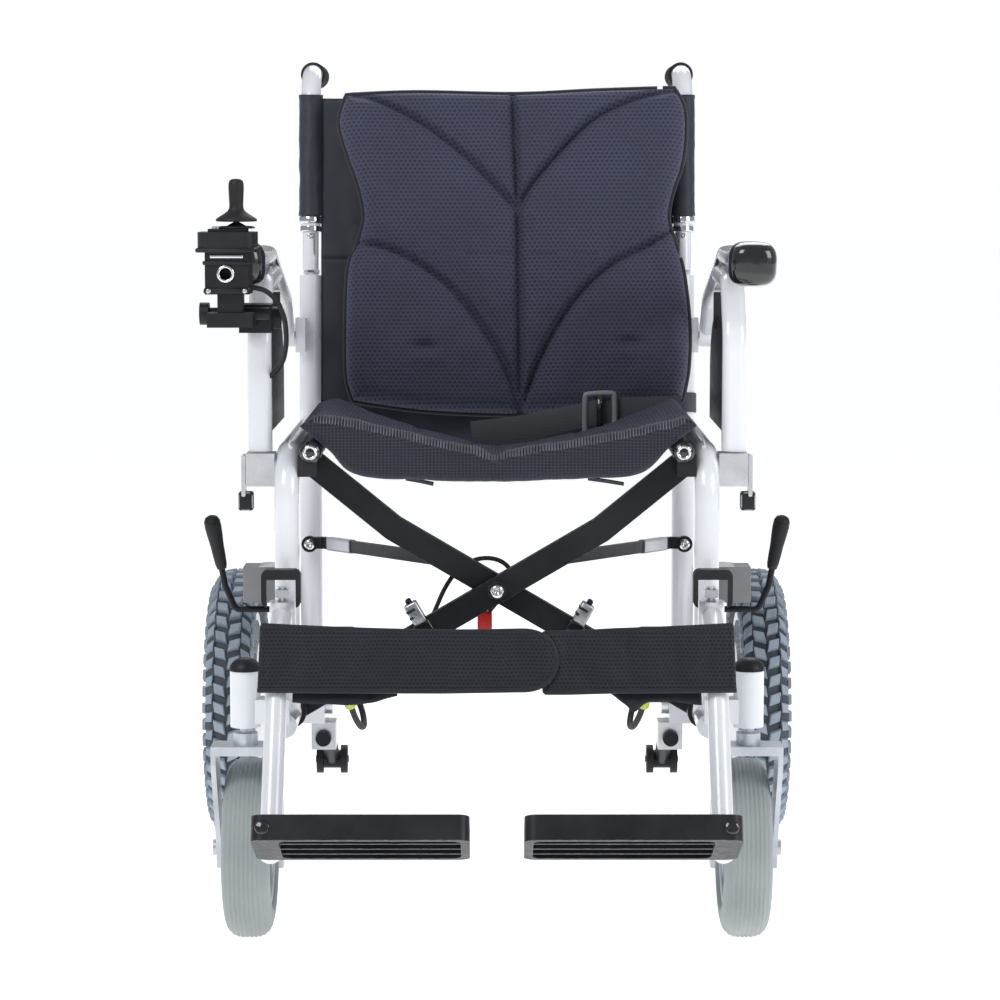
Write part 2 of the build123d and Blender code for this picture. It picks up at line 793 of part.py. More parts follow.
def power_button():
    with BuildPart() as piece:
        rod((-271, pod_y - 8, 706), (-271, pod_y - 8, 713.5), 4.2)
    save(piece, "power_button")


def controller_cable():
    """Lead from the inboard side of the controller, round behind the clamp and into the arm's front post."""
    points = [
        (-240, pod_y, 655),
        (-225, pod_y + 1, 652),
        (-214, pod_y + 13, 641),
        (-208, pod_y + 32, 622),
        (-208, pod_y + 52, 598),
        (-213, pod_y + 72, 577),
        (-227, pod_y + 86, 562),
    ]
    with BuildPart() as piece:
        cord(points, 5, "controller cable")
    save(piece, "controller_cable")


def brake_lever(name, side):
    """Wheel-lock lever: a thin bent rod turning in the ear under its housing, with a tapered black grip."""
    y, z = lever_y, lever_z
    points = [(side * 231, y, z), (side * 284, y, z), (side * 295, y, z + 26), (side * 300, y - 4, z + 56)]
    lean = (side * 0.18, -0.13, 0.97)
    with BuildPart() as piece:
        bent_tube(points, 3.5, 8)
        with BuildSketch(Plane(origin=points[-1], z_dir=lean)) as grip:
            Circle(6)
        extrude(grip.sketch, amount=46, taper=-4)
        fillet(piece.edges().group_by(Axis.Z)[-1], 5)
    save(piece, f"brake_lever_{name}")


for name, side in sides.items():
    side_frame(name, side)
    side_hardware(name, side)
    frame_fittings(name, side)
    battery(name, side)
    anti_tip_tube(name, side)
    anti_tip_wheels(name, side)
    motor_cable(name, side)
    rear_tyre(name, side)
    hub_motor(name, side)
    caster_fork(name, side)
    caster_wheel(name, side)
    hanger(name, side)
    hanger_latch(name, side)
    calf_strap(name, side)
    footplate(name, side)
    link(name, side)
    upper_cane(name, side)
    push_grip(name, side)
    arm_tube(name, side)
    arm_pad(name, side)
    skirt_guard(name, side)
    arm_latch(name, side)
    brake_lever(name, side)

brace("brace_a", -1, bar_a_y, bolt_r)
brace("brace_b", 1, bar_b_y, bolt_r + running)
seat_cushion()
seat_belt()
upper_outline = [(-182, 171), (-186, 340), (-178, 362), (206, 362)]
upper_outline += [(212, 340), (206, 240), (212, 200), (207, 171)]
lower_outline = [(-166, 4), (-176, 30), (-180, 100), (-174, 150)]
lower_outline += [(-180, 170.6), (206, 170.6), (212, 120), (212, 4)]
back_cushion("back_cushion_upper", upper_outline)
back_cushion("back_cushion_lower", lower_outline)
back_sling("back_sling_lower", 8, 170)
back_sling("back_sling_upper", 172, 352)
joystick_bracket()
controller_housing()
joystick_boot()
joystick_stick()
power_button()
controller_cable()
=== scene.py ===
import math

import bmesh
import bpy
import numpy as np
from mathutils import Matrix, Vector


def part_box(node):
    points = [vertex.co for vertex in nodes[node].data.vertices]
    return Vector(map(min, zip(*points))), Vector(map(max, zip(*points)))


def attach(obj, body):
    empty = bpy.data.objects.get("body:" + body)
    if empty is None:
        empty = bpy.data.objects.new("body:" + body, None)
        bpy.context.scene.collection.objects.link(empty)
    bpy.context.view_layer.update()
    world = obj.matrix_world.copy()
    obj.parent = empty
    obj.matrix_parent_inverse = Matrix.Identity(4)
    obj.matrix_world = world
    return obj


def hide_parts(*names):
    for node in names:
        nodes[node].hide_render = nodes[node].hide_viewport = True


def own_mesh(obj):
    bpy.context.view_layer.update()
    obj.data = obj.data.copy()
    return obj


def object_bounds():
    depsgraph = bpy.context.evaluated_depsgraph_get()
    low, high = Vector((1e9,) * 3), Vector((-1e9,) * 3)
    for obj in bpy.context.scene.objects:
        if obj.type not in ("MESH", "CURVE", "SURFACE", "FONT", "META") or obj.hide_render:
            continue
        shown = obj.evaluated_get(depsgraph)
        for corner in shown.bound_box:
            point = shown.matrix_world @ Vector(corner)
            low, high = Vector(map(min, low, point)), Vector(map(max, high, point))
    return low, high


# Folding power wheelchair. at() turns the CAD file's own millimetres into metres in the packed
# frame, whose origin along the chair is found from a drive tyre. Left is -X.

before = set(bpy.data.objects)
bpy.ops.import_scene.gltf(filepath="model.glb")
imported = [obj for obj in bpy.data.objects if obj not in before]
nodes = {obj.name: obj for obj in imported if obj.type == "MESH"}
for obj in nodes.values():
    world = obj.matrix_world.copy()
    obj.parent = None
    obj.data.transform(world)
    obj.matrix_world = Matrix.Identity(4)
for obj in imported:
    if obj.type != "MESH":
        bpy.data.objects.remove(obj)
cad_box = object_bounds()
sides = {"left": -1, "right": 1}

mm = 0.001


def middle(node):
    low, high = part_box(node)
    return (low + high) / 2


axle_y = 308
layout_y = middle("rear_tyre_left").y - axle_y * mm


def at(x, y, z):
    return Vector((x * mm, y * mm + layout_y, z * mm))


# ---- camera and lights

scene = bpy.context.scene
scene.view_settings.view_transform = "Standard"

camera_data = bpy.data.cameras.new("camera")
camera_data.sensor_width = 36
camera_data.lens = 105.1  # millimetres, with the chair filling the frame from three metres
camera = bpy.data.objects.new("camera", camera_data)
scene.collection.objects.link(camera)
camera.location = at(0, -3025, 760)
camera_pitch = math.radians(90 - 6.30)
camera_yaw = math.radians(-0.06)
camera.rotation_euler = (camera_pitch, 0, camera_yaw)
scene.camera = camera

world = bpy.data.worlds.new("studio")
world.use_nodes = True
# The backdrop shows pure white while the chair is lit by a softer share of it.
fill_light = world.node_tree.nodes["Background"]
fill_light.inputs["Color"].default_value = (0.93, 0.96, 1.0, 1)
fill_light.inputs["Strength"].default_value = 0.34
backdrop = world.node_tree.nodes.new("ShaderNodeBackground")
backdrop.inputs["Color"].default_value = (1, 1, 1, 1)
ray = world.node_tree.nodes.new("ShaderNodeLightPath")
choose = world.node_tree.nodes.new("ShaderNodeMixShader")
links = world.node_tree.links
links.new(ray.outputs["Is Camera Ray"], choose.inputs["Fac"])
links.new(fill_light.outputs[0], choose.inputs[1])
links.new(backdrop.outputs[0], choose.inputs[2])
links.new(choose.outputs[0], world.node_tree.nodes["World Output"].inputs["Surface"])
scene.world = world


def softbox(name, place, target, size, power):
    """Square area light that faces a point."""
    data = bpy.data.lights.new(name, "AREA")
    data.size = size
    data.energy = power
    light = bpy.data.objects.new(name, data)
    light.location = place
    light.rotation_euler = (Vector(target) - Vector(place)).to_track_quat("-Z", "Y").to_euler()
    scene.collection.objects.link(light)
    return light


chair_middle = (0, 0, 0.45)
softbox("key_light", (-1.3, -1.6, 2.2), chair_middle, 1.2, 26)
softbox("side_light", (1.7, -1.0, 1.3), chair_middle, 1.0, 14)
softbox("back_light", (0.2, 1.8, 2.0), chair_middle, 1.6, 20)

# ---- materials


def shader_of(made):
    return made.node_tree.nodes["Principled BSDF"]


def new_material(name, colour, roughness, metallic=0.0, **extra):
    """Material with its plain values on the shader's own sockets."""
    made = bpy.data.materials.new(name)
    made.use_nodes = True
    shader = shader_of(made)
    shader.inputs["Base Color"].default_value = (*colour, 1)
    shader.inputs["Roughness"].default_value = roughness
    shader.inputs["Metallic"].default_value = metallic
    for socket, value in extra.items():
        shader.inputs[socket.replace("_", " ")].default_value = value
    return made


def add_node(made, kind, **settings):
    node = made.node_tree.nodes.new(kind)
    for key, value in settings.items():
        setattr(node, key, value)
    return node


def join(made, source, target):
    made.node_tree.links.new(source, target)


def object_coordinates(made, stretch=(1, 1, 1)):
    coordinates = add_node(made, "ShaderNodeTexCoord")
    mapping = add_node(made, "ShaderNodeMapping")
    mapping.inputs["Scale"].default_value = stretch
    join(made, coordinates.outputs["Object"], mapping.inputs["Vector"])
    return mapping.outputs["Vector"]


def noise_field(made, vector, scale, detail=4.0, roughness=0.5):
    field = add_node(made, "ShaderNodeTexNoise")
    field.inputs["Scale"].default_value = scale
    field.inputs["Detail"].default_value = detail
    field.inputs["Roughness"].default_value = roughness
    join(made, vector, field.inputs["Vector"])
    return field.outputs["Fac"]


def ramp(made, fac, stops):
    """Colour ramp through (place, colour) stops."""
    node = add_node(made, "ShaderNodeValToRGB")
    elements = node.color_ramp.elements
    while len(elements) < len(stops):
        elements.new(0.5)
    for element, (place, colour) in zip(elements, stops):
        element.position = place
        element.color = (*colour, 1)
    join(made, fac, node.inputs["Fac"])
    return node.outputs["Color"]


def grey(value):
    return (value, value, value)


def add_bump(made, height, strength, distance, before=None):
    """Bump on the shader, stacked on an earlier one."""
    bump = add_node(made, "ShaderNodeBump")
    bump.inputs["Strength"].default_value = strength
    bump.inputs["Distance"].default_value = distance
    join(made, height, bump.inputs["Height"])
    if before is not None:
        join(made, before.outputs["Normal"], bump.inputs["Normal"])
    join(made, bump.outputs["Normal"], shader_of(made).inputs["Normal"])
    return bump


def mottled(name, dark, light, rough, metallic=0.0, patch=18, grain=900, bump=0.15, depth=0.0002,
            stretch=(1, 1, 1), **extra):
    """Moulded, painted or cast finish: slow colour drift, roughness drift and a fine grain."""
    made = new_material(name, light, rough[0], metallic, **extra)
    vector = object_coordinates(made, stretch)
    drift = noise_field(made, vector, patch, 5)
    colour = ramp(made, drift, [(0.3, dark), (0.7, light)])
    join(made, colour, shader_of(made).inputs["Base Color"])
    fine = noise_field(made, vector, patch * 7, 6, 0.6)
    rough_out = ramp(made, fine, [(0.3, grey(rough[0])), (0.75, grey(rough[1]))])
    join(made, rough_out, shader_of(made).inputs["Roughness"])
    add_bump(made, noise_field(made, vector, grain, 3), bump, depth)
    return made


def paint_edge_highlight(made, highlight_colour, radius=0.0016, keep=0.55):
    """Painted highlight: lighter colour on edges, where a bevelled normal leaves the flat one, broken up by
    noise.
    """
    shader = shader_of(made)
    bevel = add_node(made, "ShaderNodeBevel", samples=6)
    bevel.inputs["Radius"].default_value = radius
    geometry = add_node(made, "ShaderNodeNewGeometry")
    dot = add_node(made, "ShaderNodeVectorMath", operation="DOT_PRODUCT")
    join(made, bevel.outputs["Normal"], dot.inputs[0])
    join(made, geometry.outputs["Normal"], dot.inputs[1])
    edge = ramp(made, dot.outputs["Value"], [(0.72, grey(1)), (0.96, grey(0))])
    # noise that breaks the painted edge highlight into patches
    highlight_breakup = noise_field(made, object_coordinates(made), 160, 6, 0.7)
    broken = ramp(made, highlight_breakup, [(0.38, grey(0)), (0.6, grey(keep))])
    share = add_node(made, "ShaderNodeMix", data_type="FLOAT", blend_type="MIX")
    join(made, edge, share.inputs["Factor"])
    join(made, broken, share.inputs["B"])
    mix = add_node(made, "ShaderNodeMix", data_type="RGBA")
    old = shader.inputs["Base Color"].links
    if old:
        join(made, old[0].from_socket, mix.inputs["A"])
    else:
        mix.inputs["A"].default_value = shader.inputs["Base Color"].default_value
    mix.inputs["B"].default_value = (*highlight_colour, 1)
    join(made, share.outputs["Result"], mix.inputs["Factor"])
    join(made, mix.outputs["Result"], shader.inputs["Base Color"])
    return made


white_paint = mottled("white_paint", (0.80, 0.83, 0.88), (0.88, 0.90, 0.94), (0.16, 0.26), patch=9,
                      grain=420, bump=0.05, Coat_Weight=0.6, Coat_Roughness=0.08)
alloy = mottled("bright_alloy", (0.52, 0.54, 0.57), (0.72, 0.74, 0.77), (0.24, 0.42), 0.9, patch=30,
                grain=1500, bump=0.08)
chrome = mottled("plated_steel", (0.70, 0.72, 0.75), (0.84, 0.86, 0.88), (0.08, 0.16), 1.0, patch=40,
                 grain=700, bump=0.03)
cast_silver = mottled("cast_silver_paint", (0.50, 0.53, 0.57), (0.66, 0.69, 0.73), (0.28, 0.42), 0.55,
                      patch=25, grain=1100, bump=0.14)
black_plastic = mottled("moulded_black_plastic", (0.010, 0.010, 0.012), (0.020, 0.021, 0.024),
                         (0.36, 0.52), patch=22, grain=1900, bump=0.35, Specular_IOR_Level=0.3)
gloss_black = mottled("gloss_black_plastic", (0.008, 0.008, 0.009), (0.014, 0.014, 0.016),
                      (0.10, 0.2), patch=14, grain=300, bump=0.03, Coat_Weight=0.8,
                      Coat_Roughness=0.05)
# black powder coat, with a painted highlight along its edges
black_steel = paint_edge_highlight(
    mottled("black_powder_coat", (0.011, 0.012, 0.015), (0.020, 0.021, 0.026), (0.30, 0.44),
            patch=20, grain=1300, bump=0.2, Specular_IOR_Level=0.2),
    (0.32, 0.34, 0.38), 0.0014, 0.5)
grey_housing = mottled("grey_moulded_plastic", (0.20, 0.205, 0.215), (0.26, 0.265, 0.275),
                       (0.4, 0.55), patch=25, grain=1500, bump=0.3)
tread_rubber = mottled("blue_grey_tread", (0.25, 0.30, 0.36), (0.38, 0.44, 0.51), (0.55, 0.75),
                       patch=35, grain=1200, bump=0.35, depth=0.0004)
# carcass coloured far darker than the tread blocks: painted shade in the grooves between them
carcass_shade_rubber = mottled("tyre_carcass_groove_shade", (0.045, 0.055, 0.07), (0.085, 0.10, 0.12), (0.6, 0.8),
                         patch=30, grain=1500, bump=0.35, depth=0.0003)
caster_rubber = mottled("grey_caster_rubber", (0.29, 0.325, 0.335), (0.37, 0.405, 0.41), (0.45, 0.62),
                        patch=16, grain=900, bump=0.2)
soft_rubber = mottled("black_rubber", (0.012, 0.012, 0.013), (0.028, 0.028, 0.030), (0.5, 0.68),
                      patch=30, grain=1600, bump=0.3, Specular_IOR_Level=0.3)
red_plastic = mottled("red_plug_plastic", (0.50, 0.012, 0.012), (0.66, 0.025, 0.02), (0.3, 0.45),
                      patch=60, grain=1500, bump=0.15)
lime_plastic = mottled("lime_connector_plastic", (0.42, 0.50, 0.05), (0.58, 0.66, 0.10), (0.35, 0.5),
                       patch=60, grain=1500, bump=0.15)


def woven(name, dark, light, pitch_x, pitch_y, depth, rough=0.72, sheen=0.25, offset_rows=True,
          hole=0.42):
    """Perforated knit: rows of small pits on the attribute 'weave', metres across and along."""
    made = new_material(name, light, rough, Sheen_Weight=sheen, Sheen_Roughness=0.5,
                        Specular_IOR_Level=0.25)
    shader_of(made).inputs["Sheen Tint"].default_value = (0.62, 0.66, 0.85, 1)
    weave = add_node(made, "ShaderNodeAttribute", attribute_name="weave")
    split = add_node(made, "ShaderNodeSeparateXYZ")
    join(made, weave.outputs["Vector"], split.inputs["Vector"])

    def math_node(kind, first, second=None):
        node = add_node(made, "ShaderNodeMath", operation=kind)
        for socket, value in zip(node.inputs, (first, second)):
            if value is None:
                continue
            if isinstance(value, (int, float)):
                socket.default_value = value
            else:
                join(made, value, socket)
        return node.outputs[0]

    across = math_node("MULTIPLY", split.outputs["X"], 1 / pitch_x)
    along = math_node("MULTIPLY", split.outputs["Y"], 1 / pitch_y)
    if offset_rows:
        row = math_node("FLOOR", along)
        odd = math_node("MULTIPLY", math_node("PINGPONG", row, 1), 0.5)
        across = math_node("ADD", across, odd)
    u = math_node("SUBTRACT", math_node("FRACT", across), 0.5)
    v = math_node("SUBTRACT", math_node("FRACT", along), 0.5)
    round_u = math_node("MULTIPLY", u, u)
    round_v = math_node("MULTIPLY", v, v)
    distance = math_node("SQRT", math_node("ADD", round_u, round_v))
    pit = ramp(made, distance, [(hole * 0.45, grey(0)), (hole, grey(1))])
    thread = noise_field(made, object_coordinates(made), 2600, 3)
    slow = noise_field(made, object_coordinates(made), 14, 4)
    tint = ramp(made, slow, [(0.3, tuple(0.82 * c for c in light)), (0.7, light)])
    mix = add_node(made, "ShaderNodeMix", data_type="RGBA")
    mix.inputs["A"].default_value = (*dark, 1)
    join(made, pit, mix.inputs["Factor"])
    join(made, tint, mix.inputs["B"])
    join(made, mix.outputs["Result"], shader_of(made).inputs["Base Color"])
    first = add_bump(made, pit, 0.8, depth)
    add_bump(made, thread, 0.25, 0.0002, first)
    return made


spacer_mesh = woven("navy_spacer_mesh", (0.026, 0.028, 0.048), (0.062, 0.067, 0.110), 0.0052, 0.0044,
                    0.0006)
ribbed_mesh = woven("navy_ribbed_mesh", (0.010, 0.010, 0.015), (0.036, 0.038, 0.053), 0.0036, 0.0030,
                    0.0006, sheen=0.3, offset_rows=False)
strap_mesh = woven("calf_strap_mesh", (0.008, 0.008, 0.011), (0.024, 0.025, 0.033), 0.0040, 0.0034,
                   0.0006, sheen=0.3)
webbing = woven("webbing", (0.060, 0.061, 0.070), (0.115, 0.118, 0.130), 0.0024, 0.0016, 0.0003,
                rough=0.6, sheen=0.2, hole=0.5)
nylon = woven("coated_nylon", (0.030, 0.033, 0.044), (0.055, 0.060, 0.080), 0.0012, 0.0012, 0.00012,
              rough=0.42, sheen=0.15, hole=0.6)
binding = woven("edge_binding", (0.010, 0.010, 0.013), (0.034, 0.035, 0.044), 0.0016, 0.0011, 0.0002,
                rough=0.6, hole=0.5)
# light grey of the seat's edge ribs is a painted highlight along the crest
rib_highlight_paint = mottled("knit_rib_painted_highlight", (0.075, 0.077, 0.092), (0.17, 0.172, 0.195), (0.5, 0.7),
                       patch=90, grain=3000, bump=0.3)
# black footplate plastic, with a painted highlight along its edges
footplate_black = paint_edge_highlight(
    mottled("footplate_black_plastic", (0.010, 0.010, 0.013), (0.022, 0.023, 0.028), (0.32, 0.48),
            patch=22, grain=1900, bump=0.3, Specular_IOR_Level=0.3),
    (0.42, 0.43, 0.45), 0.0016, 0.75)

node_materials = {
    white_paint: ("side_frame", "hanger", "upper_cane", "arm_tube"),
    alloy: ("side_hardware", "hub_motor", "arm_latch", "power_button"),
    black_plastic: ("frame_fittings", "battery", "hanger_latch", "skirt_guard", "joystick_bracket",
                    "controller_housing"),
    black_steel: ("anti_tip_tube", "brace_link", "brake_lever", "brace_a", "brace_b"),
    soft_rubber: ("anti_tip_wheels", "motor_cable", "push_grip", "joystick_boot", "joystick_stick",
                  "controller_cable"),
    cast_silver: ("caster_fork",), footplate_black: ("footplate",), gloss_black: ("arm_pad",),
    tread_rubber: ("rear_tyre",), caster_rubber: ("caster_wheel",),
}
for material, bases in node_materials.items():
    for base in bases:
        for name in (base, *(f"{base}_{side_name}" for side_name in sides)):
            for slot in nodes[name].material_slots if name in nodes else ():
                slot.material = material

# ---- mesh helpers


def finish_piece(made, body):
    """Ride on a body."""
    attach(made, body)


def narrows(made):
    """Give a soft piece its own copy of its mesh."""
    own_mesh(made)


def piece(name, vertices, faces, material, body=None):
    """Object made from lists, in its place in the frame, riding on a body when one is given."""
    mesh = bpy.data.meshes.new(name)
    mesh.from_pydata([tuple(v) for v in vertices], [], [tuple(int(i) for i in f) for f in faces])
    mesh.validate()
    bm = bmesh.new()
    bm.from_mesh(mesh)
    bmesh.ops.recalc_face_normals(bm, faces=bm.faces)
    bm.to_mesh(mesh)
    bm.free()
    mesh.materials.append(material)
    made = bpy.data.objects.new(name, mesh)
    scene.collection.objects.link(made)
    mesh.shade_smooth()
    if body:
        finish_piece(made, body)
    return made


def smooth_by_angle(made, degrees=35):
    """Keep edges sharper than an angle."""
    limit = math.cos(math.radians(degrees))
    mesh = made.data
    mesh.shade_smooth()
    bm = bmesh.new()
    bm.from_mesh(mesh)
    for edge in bm.edges:
        if len(edge.link_faces) == 2:
            first, second = edge.link_faces
            edge.smooth = first.normal.dot(second.normal) > limit
    bm.to_mesh(mesh)
    bm.free()
    return made


def set_weave(made, across=lambda co: co[:, 0], along=lambda co: co[:, 2]):
    """Store the knit's own coordinates, from functions of the vertex places: X and Z unless given."""
    mesh = made.data
    co = np.zeros(len(mesh.vertices) * 3)
    mesh.vertices.foreach_get("co", co)
    co = co.reshape(-1, 3)
    values = np.zeros_like(co)
    values[:, 0] = across(co)
    values[:, 1] = along(co)
    attribute = mesh.attributes.get("weave") or mesh.attributes.new("weave", "FLOAT_VECTOR", "POINT")
    attribute.data.foreach_set("vector", values.ravel())
    return made


def lathe(name, profile, centre, axis, material, body, steps=48, closed=True, unit=mm):
    """Profile of (radius, along), in millimetres unless told, turned round an axis through a centre."""
    axis = Vector(axis).normalized()
    helper = Vector((0, 0, 1)) if abs(axis.z) < 0.9 else Vector((1, 0, 0))
    first = axis.cross(helper).normalized()
    second = axis.cross(first)
    vertices, faces = [], []
    count = len(profile)
    for step in range(steps):
        angle = 2 * math.pi * step / steps
        out = first * math.cos(angle) + second * math.sin(angle)
        vertices += [Vector(centre) + out * (r * unit) + axis * (a * unit) for r, a in profile]
    last = count if closed else count - 1
    for step in range(steps):
        here, there = step * count, (step + 1) % steps * count
        for i in range(last):
            j = (i + 1) % count
            faces.append((here + i, here + j, there + j, there + i))
    return piece(name, vertices, faces, material, body)


def rounded_box(name, low, high, radius, material, body):
    """Box with rounded edges between two corners in the CAD file's millimetres."""
    low, high = at(*low), at(*high)
    bm = bmesh.new()
    bmesh.ops.create_cube(bm, size=1)
    size = high - low
    for vertex in bm.verts:
        vertex.co = Vector(((low + high) / 2)[i] + vertex.co[i] * abs(size[i]) for i in range(3))
    bmesh.ops.bevel(bm, geom=bm.edges[:], offset=radius * mm, segments=3, profile=0.5, affect="EDGES")
    mesh = bpy.data.meshes.new(name)
    bm.to_mesh(mesh)
    bm.free()
    mesh.materials.append(material)
    made = bpy.data.objects.new(name, mesh)
    scene.collection.objects.link(made)
    smooth_by_angle(made, 40)
    finish_piece(made, body)
    return made


def smooth_line(points, count, closed=False):
    """Evenly spaced points on a Catmull-Rom curve through the given ones."""
    points = np.array(points, float)
    total = len(points)
    dense = []
    for i in range(total if closed else total - 1):
        near = [(i + k) % total if closed else min(max(i + k, 0), total - 1) for k in (-1, 0, 1, 2)]
        p0, p1, p2, p3 = points[near]
        for t in np.linspace(0, 1, 24, endpoint=False):
            dense.append(0.5 * (2 * p1 + (p2 - p0) * t + (2 * p0 - 5 * p1 + 4 * p2 - p3) * t * t
                                + (3 * p1 - p0 - 3 * p2 + p3) * t ** 3))
    dense.append(points[0] if closed else points[-1])
    dense = np.array(dense)
    run = np.concatenate([[0], np.cumsum(np.linalg.norm(np.diff(dense, axis=0), axis=1))])
    wanted = np.linspace(0, run[-1], count)
    return np.stack([np.interp(wanted, run, dense[:, k]) for k in range(dense.shape[1])], axis=1)


def distance_to_line(points, line):
    """Shortest distance from each 2-D point to a polyline."""
    best = np.full(len(points), 1e9)
    for a, b in zip(line[:-1], line[1:]):
        d = b - a
        t = np.clip(((points - a) @ d) / max(d @ d, 1e-12), 0, 1)
        best = np.minimum(best, np.linalg.norm(points - (a + t[:, None] * d), axis=1))
    return best


def ripple(points, scale, octaves=3):
    """Smooth repeatable noise of 2-D points, about -1 to 1."""
    total = np.zeros(len(points))
    rng = np.random.default_rng(11)
    for octave in range(octaves):
        for _ in range(4):
            angle, phase = rng.uniform(0, math.pi), rng.uniform(0, 2 * math.pi)
            wave = 2 * math.pi * 2 ** octave / scale * rng.uniform(0.7, 1.3)
            along = points[:, 0] * math.cos(angle) + points[:, 1] * math.sin(angle)
            total += np.sin(along * wave + phase) / 2 ** octave / 4
    return total


def grid_faces(rows, columns, start=0, wrap=False):
    faces = []
    for r in range(rows - 1):
        for c in range(columns if wrap else columns - 1):
            d = (c + 1) % columns
            faces.append((start + r * columns + c, start + r * columns + d,
                          start + (r + 1) * columns + d, start + (r + 1) * columns + c))
    return faces


def capped_tube(rings, around, start=0):
    """Faces of a tube of rings with a cap at each end."""
    last = start + (rings - 1) * around
    return grid_faces(rings, around, start, wrap=True) + [
        tuple(range(start, start + around)), tuple(reversed(range(last, last + around)))]


def joined_tube(rings, around):
    """Faces of a tube of rings whose last ring meets its first."""
    last = (rings - 1) * around
    return grid_faces(rings, around, wrap=True) + [
        (last + k, last + (k + 1) % around, (k + 1) % around, k) for k in range(around)]


def settle_cloth(made, pinned, pressure, cap, frames=16):
    """Blow a padded form up as cloth, its pinned points held, and keep at most cap metres of it."""
    mesh = made.data
    rest = np.zeros(len(mesh.vertices) * 3)
    mesh.vertices.foreach_get("co", rest)
    rest = rest.reshape(-1, 3)
    group = made.vertex_groups.new(name="held")
    group.add([int(i) for i in np.flatnonzero(pinned)], 1.0, "REPLACE")
    cloth = made.modifiers.new("cloth", "CLOTH")
    for key, value in dict(quality=6, mass=0.25, tension_stiffness=12, compression_stiffness=8,
                           bending_stiffness=0.6, use_pressure=True, uniform_pressure_force=pressure,
                           shrink_min=-0.01, vertex_group_mass="held").items():
        setattr(cloth.settings, key, value)
    cloth.settings.effector_weights.gravity = 0
    cloth.point_cache.frame_start = 1
    cloth.point_cache.frame_end = frames
    for number in range(1, frames + 1):
        scene.frame_set(number)
    graph = bpy.context.evaluated_depsgraph_get()
    result = np.zeros(len(mesh.vertices) * 3)
    made.evaluated_get(graph).data.vertices.foreach_get("co", result)
    moved = result.reshape(-1, 3) - rest
    length = np.linalg.norm(moved, axis=1, keepdims=True)
    moved *= np.minimum(1, cap / np.maximum(length, 1e-9))
    made.modifiers.clear()
    made.vertex_groups.clear()
    mesh.vertices.foreach_set("co", (rest + moved).ravel())
    mesh.update()
    scene.frame_set(1)


def halves(made, height_point, normal, names):
    """Cut a closed mesh in two with capped ends, and give back the low and the high half."""
    result = []
    for name, keep_high in zip(names, (False, True)):
        copy = made.copy()
        copy.data = made.data.copy()
        copy.name = name
        scene.collection.objects.link(copy)
        bm = bmesh.new()
        bm.from_mesh(copy.data)
        geometry = bm.verts[:] + bm.edges[:] + bm.faces[:]
        cut = bmesh.ops.bisect_plane(bm, geom=geometry, dist=1e-6, plane_co=height_point,
                                     plane_no=normal, clear_inner=keep_high,
                                     clear_outer=not keep_high)
        rim = [g for g in cut["geom_cut"] if isinstance(g, bmesh.types.BMEdge)]
        bmesh.ops.holes_fill(bm, edges=rim, sides=0)
        bm.to_mesh(copy.data)
        bm.free()
        result.append(copy)
    bpy.data.objects.remove(made)
    return result


# ---- back cushion

recline = 0.14
slope = math.hypot(1, recline)
seat_break = 500
cane_y_low = 255
half_fold = 171.0
hanger_x = 213


def on_back(x, up, depth):
    """Point on the reclined back: up the slope, and depth in front of the canes' centres."""
    return at(x, cane_y_low + (recline * up - depth) / slope,
              seat_break + (up + recline * depth) / slope)


def cane_y(z):
    return cane_y_low + recline * (z - seat_break)


# Outline of the cushion and its sewn seams, as (x, height up the slope).
back_top = [(-168, 350), (-90, 353), (20, 351), (110, 355), (198, 358)]
back_right = [(206, 8), (213, 45), (214, 95), (208, 150), (199, 184), (191, 212), (196, 242), (205, 268),
              (210, 300), (209, 335), (198, 358)]
back_left = [(-160, 8), (-168, 40), (-168, 120), (-165, 160), (-156, 182), (-148, 214), (-155, 250),
             (-167, 284), (-176, 320), (-168, 350)]
back_bottom = [(-160, 8), (-80, -3), (25, -7), (120, -3), (206, 8)]
back_seams = (
    [(17, 352), (20, 280), (22.5, 218), (24, 120), (25.6, -7)],
    [(-160, 349), (-141, 345), (-109, 331), (-75, 311), (-30, 275), (3, 241), (22.5, 219)],
    [(22.5, 219), (37, 247), (71, 287), (105, 320), (138, 338), (172, 349), (205, 355)],
    [(-158, 185), (-115, 174), (-75, 151), (-42, 122), (-8, 76), (14, 32), (25.6, -7)],
    [(25.6, -7), (43, 42), (65, 88), (93, 128), (127, 159), (166, 179), (196, 199)],
)
dimples = [(-81, 65), (147, 70)]


def edge_spaced(count, crowd=0.35):
    """0 to 1, closer together near both ends."""
    t = np.linspace(0, 1, count)
    return (1 - crowd) * t + crowd * (0.5 - 0.5 * np.cos(math.pi * t))


def line_at(line, shares):
    places = np.linspace(0, 1, len(line))
    return np.stack([np.interp(shares, places, line[:, k]) for k in (0, 1)], axis=1)


def patch(bottom, top, left, right, columns, rows):
    """Coons patch: rows x columns of 2-D points that fills four edges."""
    u, v = edge_spaced(columns), edge_spaced(rows)
    lines = [smooth_line(edge, 200) for edge in (bottom, top, left, right)]
    b, t = line_at(lines[0], u), line_at(lines[1], u)
    l, r = line_at(lines[2], v), line_at(lines[3], v)
    u, v = u[None, :, None], v[:, None, None]
    corners = (1 - u) * (1 - v) * b[0] + u * (1 - v) * b[-1] + (1 - u) * v * t[0] + u * v * t[-1]
    return (1 - v) * b[None] + v * t[None] + (1 - u) * l[:, None] + u * r[:, None] - corners


def border_distance(points, edges):
    lines = [smooth_line(edge, 120) for edge in edges]
    return np.min([distance_to_line(points, line) for line in lines], axis=0)


